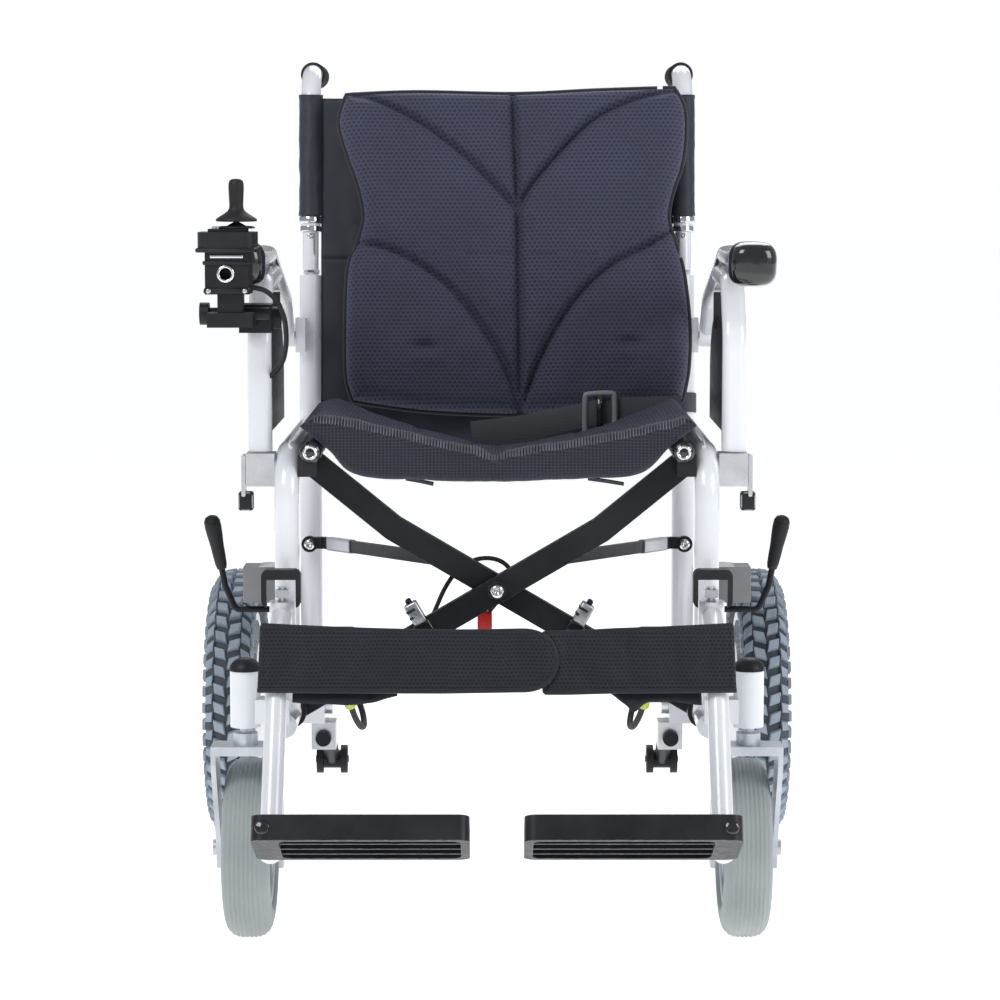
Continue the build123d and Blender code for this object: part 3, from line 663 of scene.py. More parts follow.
def closed_pad(name, grid, front, back, place, material, body=None):
    """Closed form over a grid of 2-D points, from the depth of its front and back at each."""
    rows, columns = grid.shape[:2]
    flat = grid.reshape(-1, 2)
    vertices = [place(p[0], p[1], d) for p, d in zip(flat, front)]
    vertices += [place(p[0], p[1], d) for p, d in zip(flat, back)]
    total = rows * columns
    faces = grid_faces(rows, columns)
    faces += [tuple(reversed(f)) for f in grid_faces(rows, columns, total)]
    rim = list(range(columns)) + [r * columns + columns - 1 for r in range(1, rows)]
    rim += [(rows - 1) * columns + c for c in range(columns - 2, -1, -1)]
    rim += [r * columns for r in range(rows - 2, 0, -1)]
    for i, a in enumerate(rim):
        b = rim[(i + 1) % len(rim)]
        faces.append((a, b, b + total, a + total))
    return piece(name, vertices, faces, material, body)


def crown(distance, reach):
    """Roundness that rises from 0 at an edge to 1 at reach."""
    t = np.clip(distance / reach, 0, 1)
    return np.sqrt(1 - (1 - t) ** 2)


edges = (back_bottom, back_top, back_left, back_right)
grid = patch(*edges, 168, 156)
points = grid.reshape(-1, 2)
to_border = border_distance(points, edges)
to_seam = np.min([distance_to_line(points, smooth_line(line, 90)) for line in back_seams], axis=0)
# Depths in front of the canes' centres, and how far each form reaches in from the rim.
rim_depth, seam_depth, rear_depth = 33.0, 44, 14.0
puff_height, front_reach, rear_reach = 12.5, 22, 14
groove, groove_width, lip, lip_place, lip_width = 5.5, 2.7, 1.3, 7, 3
puff = 1 - np.exp(-to_seam / 10)
front = rim_depth + (seam_depth - rim_depth + puff_height * puff) * crown(to_border, front_reach)
seam_form = groove * np.exp(-(to_seam / groove_width) ** 2)
seam_form = seam_form - lip * np.exp(-((to_seam - lip_place) / lip_width) ** 2)
front -= seam_form * crown(to_border, rear_reach)
pucker = ripple(points, 15) * np.exp(-to_seam / 9) * 0.8
front += (pucker + ripple(points, 90) * 1.4) * np.clip(to_border / 20, 0, 1)
for x, up in dimples:
    aside, above = points[:, 0] - x, points[:, 1] - up
    away = np.hypot(aside / 1.5, above)
    front -= 6.5 * np.exp(-(away / 7) ** 2) * (1 + 0.5 * np.tanh(above / 5))
    front += 1.6 * np.exp(-((aside / 26) ** 2 + ((above + 11) / 7) ** 2))
back = rim_depth - (rim_depth - rear_depth) * crown(to_border, rear_reach)
cushion = closed_pad("back_cushion", grid, front, back, on_back, spacer_mesh)
held = np.concatenate([(to_seam < 3.5) | (to_border < 5), np.ones(len(points), bool)])
for x, up in dimples:
    held[:len(points)] |= np.hypot(points[:, 0] - x, points[:, 1] - up) < 6
settle_cloth(cushion, held, 3.0, 0.006)
set_weave(cushion, lambda co: co[:, 0], lambda co: co[:, 2] + 0.2 * co[:, 1])
fold_place = on_back(0, half_fold, 0)
up_slope = Vector((0, recline, 1)).normalized()
lower_half, upper_half = halves(cushion, fold_place, up_slope, ("back_pad_lower", "back_pad_upper"))
for half, body, node in ((lower_half, "frame_left", "back_cushion_lower"),
                         (upper_half, "back_left", "back_cushion_upper")):
    finish_piece(half, body)
    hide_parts(node)
    narrows(half)


def strip_tube(name, path, radius, material, body, around=8, flat=1.0, closed=False):
    """Tube along 3-D points in metres, its section flattened along the path's first normal."""
    path = [Vector(p) for p in path]
    vertices = []
    normal = None
    total = len(path)
    for i, p in enumerate(path):
        before = path[(i - 1) % total] if closed else path[max(i - 1, 0)]
        after = path[(i + 1) % total] if closed else path[min(i + 1, total - 1)]
        tangent = (after - before).normalized()
        if normal is None:
            start = Vector((0, 1, 0)) if abs(tangent.y) < 0.9 else Vector((1, 0, 0))
            normal = (start - tangent * start.dot(tangent)).normalized()
        normal = (normal - tangent * normal.dot(tangent)).normalized()
        second = tangent.cross(normal)
        for k in range(around):
            angle = 2 * math.pi * k / around
            vertices.append(p + normal * (radius * flat * math.cos(angle))
                            + second * (radius * math.sin(angle)))
    faces = joined_tube(total, around) if closed else capped_tube(total, around)
    return piece(name, vertices, faces, material, body)


# Binding that runs round the cushion's rim, split where the back folds.
rim_line = np.concatenate([smooth_line(back_bottom, 60)[:-1], smooth_line(back_right, 70)[:-1],
                           smooth_line(back_top, 60)[::-1][:-1], smooth_line(back_left, 70)[::-1][:-1]])
for name, body, chosen in (("back_binding_lower", "frame_left", rim_line[:, 1] < half_fold),
                           ("back_binding_upper", "back_left", rim_line[:, 1] > half_fold)):
    runs = rim_line[chosen]
    jump = int(np.argmax(np.linalg.norm(np.diff(runs, axis=0), axis=1))) + 1
    runs = np.concatenate([runs[jump:], runs[:jump]])
    band = strip_tube(name, [on_back(x, up, rim_depth) for x, up in runs], 0.0034, binding, body)
    set_weave(band, lambda co: co[:, 1], lambda co: co[:, 2] + co[:, 0])
    narrows(band)

# ---- back sling and cane sleeves


def sling(name, node, body, low, high):
    """Nylon sheet between the canes, slightly slack, with a hem at each free edge."""
    rows, columns = 40, 90
    half_width = 198.2
    xs = np.linspace(-half_width, half_width, columns)
    ups = np.linspace(low, high, rows)
    grid = np.stack(np.meshgrid(xs, ups), axis=2)
    flat = grid.reshape(-1, 2)
    slack = ripple(flat, 120) * 1.6 + ripple(flat, 30) * 0.5
    edge = np.minimum(flat[:, 1] - low, high - flat[:, 1])
    hem = 0.7 * (edge < 12) + 0.5 * (np.abs(edge - 11) < 1.5)
    loose = np.clip((half_width - np.abs(flat[:, 0])) / 25, 0, 1)
    front = 1.6 + hem + slack * loose
    back = -1.2 - hem + slack * loose
    made = closed_pad(name, grid, front, back, on_back, nylon, body)
    set_weave(made)
    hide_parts(node)
    narrows(made)


sling("back_sheet_lower", "back_sling_lower", "frame_left", 8, 170.9)
sling("back_sheet_upper", "back_sling_upper", "back_left", 171.1, 352)

# dark tongue of the back sheet that hangs behind the seat's rear edge, as painted shade: it darkens the
# shaded gap between the back cushion and the seat
shade_filler_edges = ([(-150, -40), (-120, -50), (120, -50), (150, -40)], [(-166, 9), (166, 9)],
               [(-150, -40), (-166, 9)], [(150, -40), (166, 9)])
grid = patch(*shade_filler_edges, 70, 20)
flat = grid.reshape(-1, 2)
wave = ripple(flat, 60) * 1.5
shade_filler_sheet = closed_pad("back_sheet_shade_filler", grid, wave + 1.0, wave - 1.0, on_back, nylon, "frame_left")
set_weave(shade_filler_sheet)
narrows(shade_filler_sheet)

cane_x = 210
sleeve_low, sleeve_height, sleeve_radius, sleeve_bore = 717, 136, 13.2, 11.25
steps, rings = 40, 46
for side_name, side in sides.items():
    vertices = []
    for shell in (0, 1):
        for ring in range(rings):
            t = ring / (rings - 1)
            z = sleeve_low + sleeve_height * (t if shell == 0 else 1 - t)
            for k in range(steps):
                angle = 2 * math.pi * k / steps
                rough = ripple(np.array([[angle * 14 + 9 * side, z]]), 34)[0]
                tight = min(t, 1 - t) * 8
                hem = 0.6 if abs(z - 785) > 62 else 0
                radius = sleeve_radius + 0.7 * rough * min(1, tight) + hem
                if shell == 1:
                    radius = sleeve_bore
                vertices.append(at(side * cane_x + radius * math.cos(angle),
                                   cane_y(z) + radius * math.sin(angle), z))
    sleeve = piece(f"cane_sleeve_{side_name}", vertices, joined_tube(2 * rings, steps), nylon,
                   f"back_{side_name}")
    set_weave(sleeve, lambda co: np.arctan2(co[:, 1], co[:, 0] - 0.2) * 0.013)
    # plated collars on the neck under the sleeve
    for tag, z, ring in (
            ("low", 702, [(9.15, -3), (11.8, -3), (11.8, -2), (11.8, 2), (11.8, 3), (9.15, 3)]),
            ("high", 712, [(9.15, -4), (12.6, -4), (13, -3), (13, 3), (12.6, 4), (11.1, 4)])):
        lathe(f"neck_collar_{tag}_{side_name}", ring, at(side * cane_x, cane_y(z), z), (0, recline, 1),
              chrome, f"back_{side_name}")

# ---- seat

seat_front, seat_rear = -127, 189
seat_left, seat_right, columns = -196, 199, 121
# The pad's section across the chair: its top and its belly, as (x, z).
crest = smooth_line([(-196, 514), (-182, 523), (-166, 524), (-120, 515), (-60, 501), (-3, 490), (60, 498),
                     (125, 509), (172, 519), (190, 522), (199, 515)], columns)
belly = smooth_line([(-196, 513), (-168, 489), (-140, 464), (-70, 459), (0, 457.5), (75, 460),
                     (142, 465), (172, 491), (199, 514)], columns)
seat_x = np.linspace(seat_left, seat_right, columns)
crest_z = np.interp(seat_x, crest[:, 0], crest[:, 1])
belly_z = np.interp(seat_x, belly[:, 0], belly[:, 1])


def front_radius(top, low):
    """Radius of the pad's front edge, smaller where the pad is thin."""
    return min(13.0, max(top - low, 0.6) * 0.48)


def seat_ring(top, low):
    """Section along the chair: round the pad from the back of its top to the back of its belly."""
    r = front_radius(top, low)
    ring = [(y, top) for y in np.linspace(seat_rear, seat_front + r + 4, 58)]
    ring += [(seat_front + r - r * math.sin(a), top - r + r * math.cos(a))
             for a in np.linspace(0.1, 1.45, 9)]
    ring += [(seat_front, z) for z in np.linspace(top - r, low + r * 0.8, 9)[1:-1]]
    ring += [(seat_front + r * 0.8 - r * 0.8 * math.cos(a), low + r * 0.8 - r * 0.8 * math.sin(a))
             for a in np.linspace(0.1, 1.5, 7)]
    ring += [(y, low) for y in np.linspace(seat_front + r + 4, seat_rear, 26)]
    return ring


def seat_wave(x, y, z):
    """Unevenness of the pad's cover."""
    broad, fine = ripple(np.array([[x, y + z]]), 75)[0], ripple(np.array([[x, y * 0.4 + z]]), 22)[0]
    return broad * 1.3 + fine * 0.45


def seat_dip(x):
    """Notch at the middle of the front edge, where the two halves of the sling fold."""
    return 5.5 * math.exp(-((x + 3) / 9) ** 2)


sewn_channels = (-88, 0, 88)
vertices = []
for x, top, low in zip(seat_x, crest_z, belly_z):
    ring = seat_ring(top, low)
    spread = min(1, (top - low) / 25)  # the details fade where the pad thins at its sides
    for y, z in ring:
        upper = (z - low) / max(top - low, 1)
        notch = seat_dip(x) * max(0, upper) * math.exp(-max(0, y + 105) / 60)
        channel = sum(1.8 * math.exp(-((x - c) / 4.5) ** 2) for c in sewn_channels)
        channel *= (y > -108) * upper ** 4
        edge_seam = 2.2 * math.exp(-((y + 112) / 3.2) ** 2) * (upper > 0.9) * spread
        push = seat_wave(x, y, z) * spread
        behind = max(0, min(1, (y + 113) / 45))
        drop = 14 * behind ** 2 * (3 - 2 * behind) + 9 * max(0, y + 113) / 300
        notch += drop * (1 - abs(x / 200) ** 3) * max(0, upper) ** 2
        dy = -abs(push) * 0.4 if y < seat_front + 6 else 0
        z += push * (0.9 if upper > 0.7 else 0.4) - notch - channel - edge_seam
        vertices.append(at(x, y + dy, z))
seat = piece("seat_pad", vertices, capped_tube(columns, len(ring)), ribbed_mesh, "seat")
set_weave(seat, along=lambda co: co[:, 1] - co[:, 2])
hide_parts("seat_cushion")
# raised ribs that round the front edge of the seat's top, in a light grey that paints the highlight along
# the crest
rib_steps, rib_around, rib_turn, rib_pitch = 7, 6, 1.25, 3.0
vertices, faces = [], []
for x in np.arange(-182, 188, rib_pitch):
    top, low = np.interp(x, seat_x, crest_z), np.interp(x, seat_x, belly_z)
    radius = front_radius(top, low)
    faces += capped_tube(rib_steps, rib_around, len(vertices))
    for angle in np.linspace(0.0, rib_turn, rib_steps):
        y = seat_front + radius - radius * math.sin(angle)
        z = top - radius + radius * math.cos(angle)
        z += seat_wave(x, y, z) * 0.9 * min(1, (top - low) / 25) - seat_dip(x)
        grow = 1.3 * math.sin(math.pi * min(1, angle / rib_turn)) ** 0.5
        for k in range(rib_around):
            turn = 2 * math.pi * k / rib_around
            out = grow * math.sin(turn) - 0.2
            vertices.append(at(x + 0.8 * math.cos(turn), y - math.sin(angle) * out,
                               z + math.cos(angle) * out))
narrows(piece("seat_edge_ribs", vertices, faces, rib_highlight_paint, "seat"))
narrows(seat)

# ---- lap belt


def ribbon(name, line, half_width, thickness, y_of):
    """Flat seat webbing in the XZ plane along 2-D points, with its own thickness along Y."""
    line = smooth_line(line, 60)
    vertices = []
    for i, (x, z) in enumerate(line):
        ahead = line[min(i + 1, len(line) - 1)] - line[max(i - 1, 0)]
        ahead = ahead / np.linalg.norm(ahead)
        across = np.array([-ahead[1], ahead[0]])
        for share in (-1, -0.93, 0, 0.93, 1):
            for layer in (-1, 1):
                thin = 0.55 if abs(share) == 1 else 1
                p = np.array([x, z]) + across * share * half_width
                vertices.append(at(p[0], y_of(x) + layer * thickness / 2 * thin, p[1]))
    loop = [0, 2, 4, 6, 8, 9, 7, 5, 3, 1]
    faces = []
    for i in range(len(line) - 1):
        for k, a in enumerate(loop):
            b = loop[(k + 1) % 10]
            faces.append((i * 10 + a, i * 10 + b, i * 10 + 10 + b, i * 10 + 10 + a))
    faces.append(tuple(loop))
    faces.append(tuple((len(line) - 1) * 10 + k for k in reversed(loop)))
    made = smooth_by_angle(piece(name, vertices, faces, webbing, "seat"), 40)
    narrows(made)
    return made


tail = ribbon("belt_tail", [(-28, 480), (30, 487), (75, 496), (112, 504)], 13.5, 1.8,
              lambda x: 177 + 0.8 * math.sin(x * 0.06))
upper_strap = ribbon("belt_strap", [(106, 505), (140, 505.5), (175, 506.5), (203, 508)], 14.0, 1.8,
                     lambda x: 181 + 0.8 * math.sin(x * 0.05))
set_weave(tail)
set_weave(upper_strap)
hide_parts("seat_belt")
corners = [(97, 482), (97, 519), (101, 523.5), (124, 524.5), (129, 520), (129, 484), (125, 479), (101, 478)]
loop = smooth_line(corners, 64, closed=True)[:-1]
narrows(strip_tube("belt_slide", [at(x, 176, z) for x, z in loop], 0.0032, grey_housing, "seat", 10,
                   closed=True))
narrows(strip_tube("belt_slide_bar", [at(113, 173.5, z) for z in (480, 495, 508, 523)], 0.0036,
                   gloss_black, "seat", 12, 0.7))
# the belt's end looped round the right back tube
end_loop = lathe("belt_end_loop", [(12.7, 0), (14.3, 0), (14.6, 1), (14.6, 21), (14.3, 22), (12.7, 22)],
                 at(cane_x, cane_y(497), 497), (0, recline, 1), webbing, "frame_right", 64)
set_weave(end_loop, lambda co: np.arctan2(co[:, 1] - co[:, 1].mean(), co[:, 0] - 0.21) * 0.0135)

# ---- calf strap

# Ends of the hanger's straight lower tube, which the strap lies on.
knee, foot = Vector((0, -215, 312)), Vector((0, -334, 131))
shin = (foot - knee).normalized()
shin_front = Vector((0, shin.z, -shin.y))
tube_front = 11.2


def on_strap(x, up, depth):
    p = knee - shin * up + shin_front * (tube_front + depth)
    return at(x, p.y, p.z)


strap_low, strap_high = -59, 9.5


def strap_piece(name, side, inner, outer, rounded, lift):
    """Half of the calf strap: padded band with a bound edge, its inner end rounded where it overlaps."""
    columns, rows = 110, 34
    span = abs(inner - outer)
    overlap_start, overlap_run, middle_depth, half_thick = 0.62, 0.25, 4.0, 3.4
    grid = np.zeros((rows, columns, 2))
    for c, t in enumerate(edge_spaced(columns, 0.5)):
        x = outer + (inner - outer) * t
        hang = max(0, 1 - (x / 230) ** 2)
        top, low = strap_high - 7.5 * hang, strap_low - 1.0 * hang
        half, centre = (top - low) / 2, (top + low) / 2
        if rounded:
            past = max(0.0, (abs(x - outer) - (span - 34)) / 34)
            half *= max(0.06, math.sqrt(max(0, 1 - past ** 2.4)))
        for r, s in enumerate(edge_spaced(rows, 0.5)):
            grid[r, c] = (x, centre + half * (2 * s - 1))
    flat = grid.reshape(-1, 2)
    u = np.tile(edge_spaced(columns, 0.5), rows)
    v = np.repeat(edge_spaced(rows, 0.5), columns)
    border = np.minimum(np.minimum(v, 1 - v) * 66, np.minimum(u, 1 - u) * span)
    folds = ripple(flat * [1, 0.4], 58) * 3.0 + ripple(flat * [1.3, 0.45], 19) * 0.7
    calm = np.clip(border / 15, 0, 1)
    groove = 1.1 * np.exp(-((border - 6.5) / 1.5) ** 2)
    raised = lift * np.clip((u - overlap_start) / overlap_run, 0, 1)
    front = middle_depth + half_thick * crown(border, 9) + folds * calm - groove + raised
    back = middle_depth - half_thick * crown(border, 6) + raised * 0.9
    made = closed_pad(name, grid, front, back, on_strap, strap_mesh, f"hanger_{side}")
    set_weave(made)
    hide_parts(f"calf_strap_{side}")
    narrows(made)
    rim = [*grid[0], *grid[1:, -1], *grid[-1, -2::-1]]
    rim_path = []
    for x, up in rim[::2]:
        raised = lift * min(1, max(0, (abs(x - outer) / span - overlap_start) / overlap_run))
        rim_path.append(on_strap(x, up, middle_depth + raised))
    band = strip_tube(f"{name}_binding", rim_path, 0.0026, binding, f"hanger_{side}")
    set_weave(band, lambda co: co[:, 1], lambda co: co[:, 2] + co[:, 0])
    narrows(band)


strap_piece("calf_band_left", "left", 57.5, -230, True, 3.0)
strap_piece("calf_band_right", "right", 46, 230, False, -3.0)

# soft flap that comes out below the band, just inside each tube
flap_edges = {
    "left": ([(-197, -67), (-170, -69), (-130, -69), (-96, -60)], [(-197, -30), (-96, -30)],
             [(-197, -67), (-197, -30)], [(-96, -60), (-96, -30)]),
    "right": ([(108, -57), (124, -70), (132, -77), (150, -66), (197, -70)], [(108, -30), (197, -30)],
              [(108, -57), (108, -30)], [(197, -70), (197, -30)]),
}
for side_name, edges in flap_edges.items():
    grid = patch(*edges, 48, 20)
    flat = grid.reshape(-1, 2)
    thick = crown(border_distance(flat, edges), 5) * 2.6
    wave = ripple(flat, 30) * 1.2
    flap = closed_pad(f"calf_flap_{side_name}", grid, wave - 7 + thick, wave - 7 - thick, on_strap,
                      binding, f"hanger_{side_name}")
    set_weave(flap)
    narrows(flap)

# ---- wheels


def superellipse(half_width, half_height, power, count):
    """Closed section points, width first."""
    out = []
    for k in range(count):
        a = 2 * math.pi * k / count
        c, s = math.cos(a), math.sin(a)
        out.append((half_width * math.copysign(abs(c) ** (2 / power), c),
                    half_height * math.copysign(abs(s) ** (2 / power), s)))
    return out


def knobbly_tyre(name, node, body):
    """Carcass with staggered tread blocks: two middle rows, two shoulder rows and side lugs."""
    low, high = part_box(node)
    centre = (low + high) / 2
    radius = (high.z - low.z) / 2
    bead, squareness, blocks_round = 0.106, 2.5, 46
    crown_r = radius - 0.0065
    mid, tall, half = (bead + crown_r) / 2, (crown_r - bead) / 2, (high.x - low.x) / 2 - 0.004
    section = [(mid + h, w) for w, h in superellipse(half, tall, squareness, 40)]
    carcass = lathe(name, section, centre, (1, 0, 0), carcass_shade_rubber, body, 120, unit=1)
    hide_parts(node)

    def surface_radius(w):
        t = min(1, abs(w) / half)
        return mid + tall * (1 - t ** squareness) ** (1 / squareness)

    vertices, faces = [], []
    # place across, phase, half width, half length and twist of each row of blocks
    rows = [(-0.0075, 0.0, 0.0062, 0.0066, 0.35), (0.0075, 0.5, 0.0062, 0.0066, -0.35),
            (-0.0195, 0.5, 0.0046, 0.0062, -0.2), (0.0195, 0.0, 0.0046, 0.0062, 0.2),
            (-0.0248, 0.0, 0.0016, 0.0072, 0.0), (0.0248, 0.5, 0.0016, 0.0072, 0.0)]
    for w, phase, half_w, half_l, twist in rows:
        for k in range(blocks_round):
            angle = 2 * math.pi * (k + phase) / blocks_round
            start = len(vertices)
            for layer, shrink in ((0, 1.0), (0.72, 0.96), (1, 0.82)):
                for sx, sl in ((-1, -1), (1, -1), (1, 1), (-1, 1)):
                    if abs(w) > 0.022:
                        x = math.copysign(min(half, 0.0240) + 0.0035 * layer, w)
                        r = surface_radius(0.0235) - 0.006 + (0.006 if sx * w < 0 else -0.006)
                        a = angle + sl * half_l * shrink / radius
                    else:
                        x = w + (sx * half_w * shrink + twist * sl * half_l * 0.4)
                        r = surface_radius(x) - 0.0015 + (radius - crown_r + 0.0012) * layer
                        r = min(r, radius - 0.0002)
                        a = angle + (sl * half_l * shrink + sx * twist * half_w) / radius
                    vertices.append(centre + Vector((x, r * math.cos(a), r * math.sin(a))))
            for ring in (0, 4):
                for q in range(4):
                    faces.append((start + ring + q, start + ring + (q + 1) % 4,
                                  start + ring + 4 + (q + 1) % 4, start + ring + 4 + q))
            faces.append((start + 8, start + 9, start + 10, start + 11))
            faces.append((start + 3, start + 2, start + 1, start))
    smooth_by_angle(piece(f"{name}_blocks", vertices, faces, tread_rubber, body), 30)


def grooved_caster(name, node, body):
    """Grey tyre with fine grooves round it, on a pale hub with five spokes."""
    low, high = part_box(node)
    centre = (low + high) / 2
    radius = (high.z - low.z) / 2
    half = (high.x - low.x) / 2 - 0.001
    seat_r = radius * 0.70
    outer = []
    lanes, spokes, spoke_rings, spoke_around = 64, 5, 6, 16
    for i in range(lanes + 1):
        t = -1 + 2 * i / lanes
        w = half * t
        r = seat_r + (radius - seat_r) * (1 - abs(t) ** 3.4) ** (1 / 2.6)
        if abs(t) < 0.84:
            r -= 0.0011 * (0.5 + 0.5 * math.cos(t * math.pi * 11)) ** 3
        outer.append((r, w))
    inner = [(seat_r - 0.002, half * 0.86), (seat_r - 0.002, -half * 0.86)]
    tyre = lathe(name, outer + inner, centre, (1, 0, 0), caster_rubber, body, 128, unit=1)
    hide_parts(node)
    rim_in = seat_r - 0.011
    rim = [(seat_r - 0.0018, -0.019), (seat_r - 0.0018, 0.019), (seat_r - 0.004, 0.0205),
           (rim_in + 0.001, 0.0195), (rim_in, 0.017), (rim_in, -0.017), (rim_in + 0.001, -0.0195),
           (seat_r - 0.004, -0.0205)]
    lathe(f"{name}_rim", rim, centre, (1, 0, 0), cast_silver, body, 96, unit=1)
    hub = [(6.2, -21), (12.5, -21), (14.5, -19), (14.5, 19), (12.5, 21), (6.2, 21)]
    lathe(f"{name}_hub", hub, centre, (1, 0, 0), cast_silver, body)
    vertices, faces = [], []
    for k in range(spokes):
        angle = 2 * math.pi * k / spokes + 0.3
        out = Vector((0, math.cos(angle), math.sin(angle)))
        along = Vector((0, -math.sin(angle), math.cos(angle)))
        start = len(vertices)
        for share in np.linspace(0, 1, spoke_rings):
            r = 0.0135 + (rim_in + 0.0012 - 0.0135) * share
            wide = 0.0075 - 0.0022 * math.sin(math.pi * share)
            thick = 0.0125 - 0.003 * math.sin(math.pi * share)
            for w, h in superellipse(thick, wide, 4, spoke_around):
                vertices.append(centre + out * r + along * h + Vector((w, 0, 0)))
        faces += grid_faces(spoke_rings, spoke_around, start, wrap=True)
    piece(f"{name}_spokes", vertices, faces, cast_silver, body)


for side_name in sides:
    knobbly_tyre(f"drive_tyre_{side_name}", f"rear_tyre_{side_name}", f"drive_wheel_{side_name}")
    grooved_caster(f"caster_tyre_{side_name}", f"caster_wheel_{side_name}", f"caster_{side_name}")

# ---- armrests


# Sections of the armrest pad: y, x of its middle, half width, low z and high z.
pad_keys = [(-152, 253, 5, 668, 682), (-151, 253, 12, 663, 689), (-147.5, 253, 18.5, 657, 693.5),
            (-141, 253, 22.3, 654, 696), (-132, 253, 23.6, 652.6, 697), (-120, 253, 23.8, 652.3, 697),
            (-115, 253, 22.8, 654, 697), (-112, 252.5, 21.5, 659, 697), (-108, 252, 20.2, 663.5, 697),
            (-95, 252, 19.8, 666.5, 695), (-40, 252, 19.8, 667.5, 690.5), (20, 252, 19.8, 669, 689.5),
            (56, 252, 19.8, 670.6, 689.5), (70, 252, 19.7, 669.5, 686.5), (120, 252, 19.4, 658, 673),
            (170, 252, 18.8, 648, 660.5), (184, 252, 17.5, 646, 656.5), (190, 252, 14, 646, 653.5),
            (191.6, 252, 8, 647.5, 651.5)]
for side_name, side in sides.items():
    sections = smooth_line([(y, side * x, *rest) for y, x, *rest in pad_keys], 90)
    vertices = []
    for y, x, half, low, high in sections:
        for w, h in superellipse(half, (high - low) / 2, 3.2, 36):
            vertices.append(at(x + w, y, (low + high) / 2 + h))
    pad = piece(f"armrest_pad_{side_name}", vertices, capped_tube(len(sections), 36), gloss_black,
                f"arm_{side_name}")
    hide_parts(f"arm_pad_{side_name}")

# ---- controller details

pod_y, stick_x = -188, -252
for name, low, high, radius, material in (
        ("top_lip", (-289.5, -29.5, 688.5), (-231.5, 31, 693), 2.0, black_plastic),
        ("silver_strip", (-276, -23.4, 683), (-244, -21.6, 686.2), 0.7, chrome),
        ("mid_ridge", (-283, -24.2, 676.5), (-237.5, -21, 680.5), 1.4, black_plastic),
        ("low_ridge", (-282.5, -24.2, 648.6), (-238, 27, 654.5), 2.2, black_plastic)):
    rounded_box(f"pod_{name}", (low[0], pod_y + low[1], low[2]), (high[0], pod_y + high[1], high[2]),
                radius, material, "arm_left")
lathe("pod_socket_ring", [(5.6, 0), (8.6, 0), (8.8, 0.8), (8.2, 2.4), (6.4, 2.8), (5.6, 2.2)],
      at(-261, pod_y - 22.05, 668), (0, -1, 0), chrome, "arm_left")
boot_flange = [(13.2, 711.2), (17.6, 711.2), (18, 712), (16.5, 713.3), (13.6, 713.6), (13.2, 713)]
lathe("pod_boot_flange", boot_flange, at(stick_x, pod_y, 0), (0, 0, 1), soft_rubber, "arm_left", 64)
stick_profile = [(0.01, 759.0), (3.6, 758.8), (6.2, 757.4), (7.3, 754.4), (7.45, 750), (7.1, 742),
                 (6.7, 734), (7.0, 730.5), (8.6, 727.8), (12.0, 725.4), (16.4, 722.6), (19.4, 720.6),
                 (20.0, 719.2), (19.4, 718.0), (15.0, 717.7), (10.5, 717.9), (8.2, 717.9), (3.1, 717.9),
                 (3.0, 703), (0.01, 703)]
stick = lathe("joystick_handle", stick_profile, at(stick_x, pod_y, 0), (0, 0, 1), soft_rubber, "joystick",
              64)
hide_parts("joystick_stick")
for number, x in enumerate((-277.5, -242.5)):
    lathe(f"pod_screw_{number}", [(0, 0), (2.4, 0), (2.4, 0.8), (1.6, 1.4), (0, 1.4)],
          at(x, pod_y - 24.2, 651.5), (0, -1, 0), alloy, "arm_left", 24, closed=False)

# ---- bolts, caps, slots and clamps


def screw(name, place, axis, radius, height, material, body):
    """Button head with a round recess, in millimetres."""
    shape = [(0, 0), (1, 0), (1.02, 0.15), (0.95, 0.55), (0.7, 0.9), (0.52, 1), (0.46, 0.96),
             (0.44, 0.35), (0, 0.35)]
    lathe(name, [(radius * r, height * h) for r, h in shape], place, axis, material, body, 36,
          closed=False)


pivot_z, bar_front = 345, -104
brace_rise, brace_run = 123, 210
rail_x, rail_front, rail_z = 186, -128.1, 488
link_start, link_stop, link_sleeve = (196, 222.5, 353.7), (51, -70.5, 372), (0.07, 0.26)
neck_z, neck_front = 684, 9.2
pin_slope, pin_reach = math.radians(25), 104
rail_cap = [(0, -5.2), (4.5, -5), (8.5, -3.6), (10.9, -0.6), (11.1, 0), (0, 0)]
rail_ring = [(4.6, -6.8), (7.2, -6.2), (7.6, -4.6), (4.6, -4.6)]
knuckle = [(10.6, -10), (13.0, -9.5), (13.4, -8), (13.4, -1), (12.8, 0), (10.6, 0)]
pin_cap = [(0, 1.6), (5.6, 1.4), (6.8, 0.4), (6.8, -0.3), (0, -0.3)]
brake_grip = [(3.55, -12), (3.6, -12), (5.2, -11), (6.3, -6), (6.9, 4), (7.2, 14), (8.4, 27), (9.0, 36),
              (8.6, 43), (6.6, 47), (3.0, 48.8), (0, 49)]
clamp_parts = (("jaw", alloy, (-7, -8.2, 9.5), (7, 8.2, 33)),
               ("band", gloss_black, (-9, -9.4, -4), (9, 9.4, 12)),
               ("rib_low", black_plastic, (-7.6, -9, 17), (-2.8, 9, 21)),
               ("rib_high", black_plastic, (-7.6, -9, 24), (3.2, 9, 28)),
               ("tip", black_plastic, (-3, -5, 32), (3, 5, 38)))
# What differs from one side to the other: the brace whose rail ends here, the brace that the
# clamp holds, that bar's y, the clamp's distance out, and the strap end's two x places.
side_details = {"left": ("brace_b", "brace_a", -95, 72, (-92, -64)),
                "right": ("brace_a", "brace_b", -80, 77, (92, 128))}

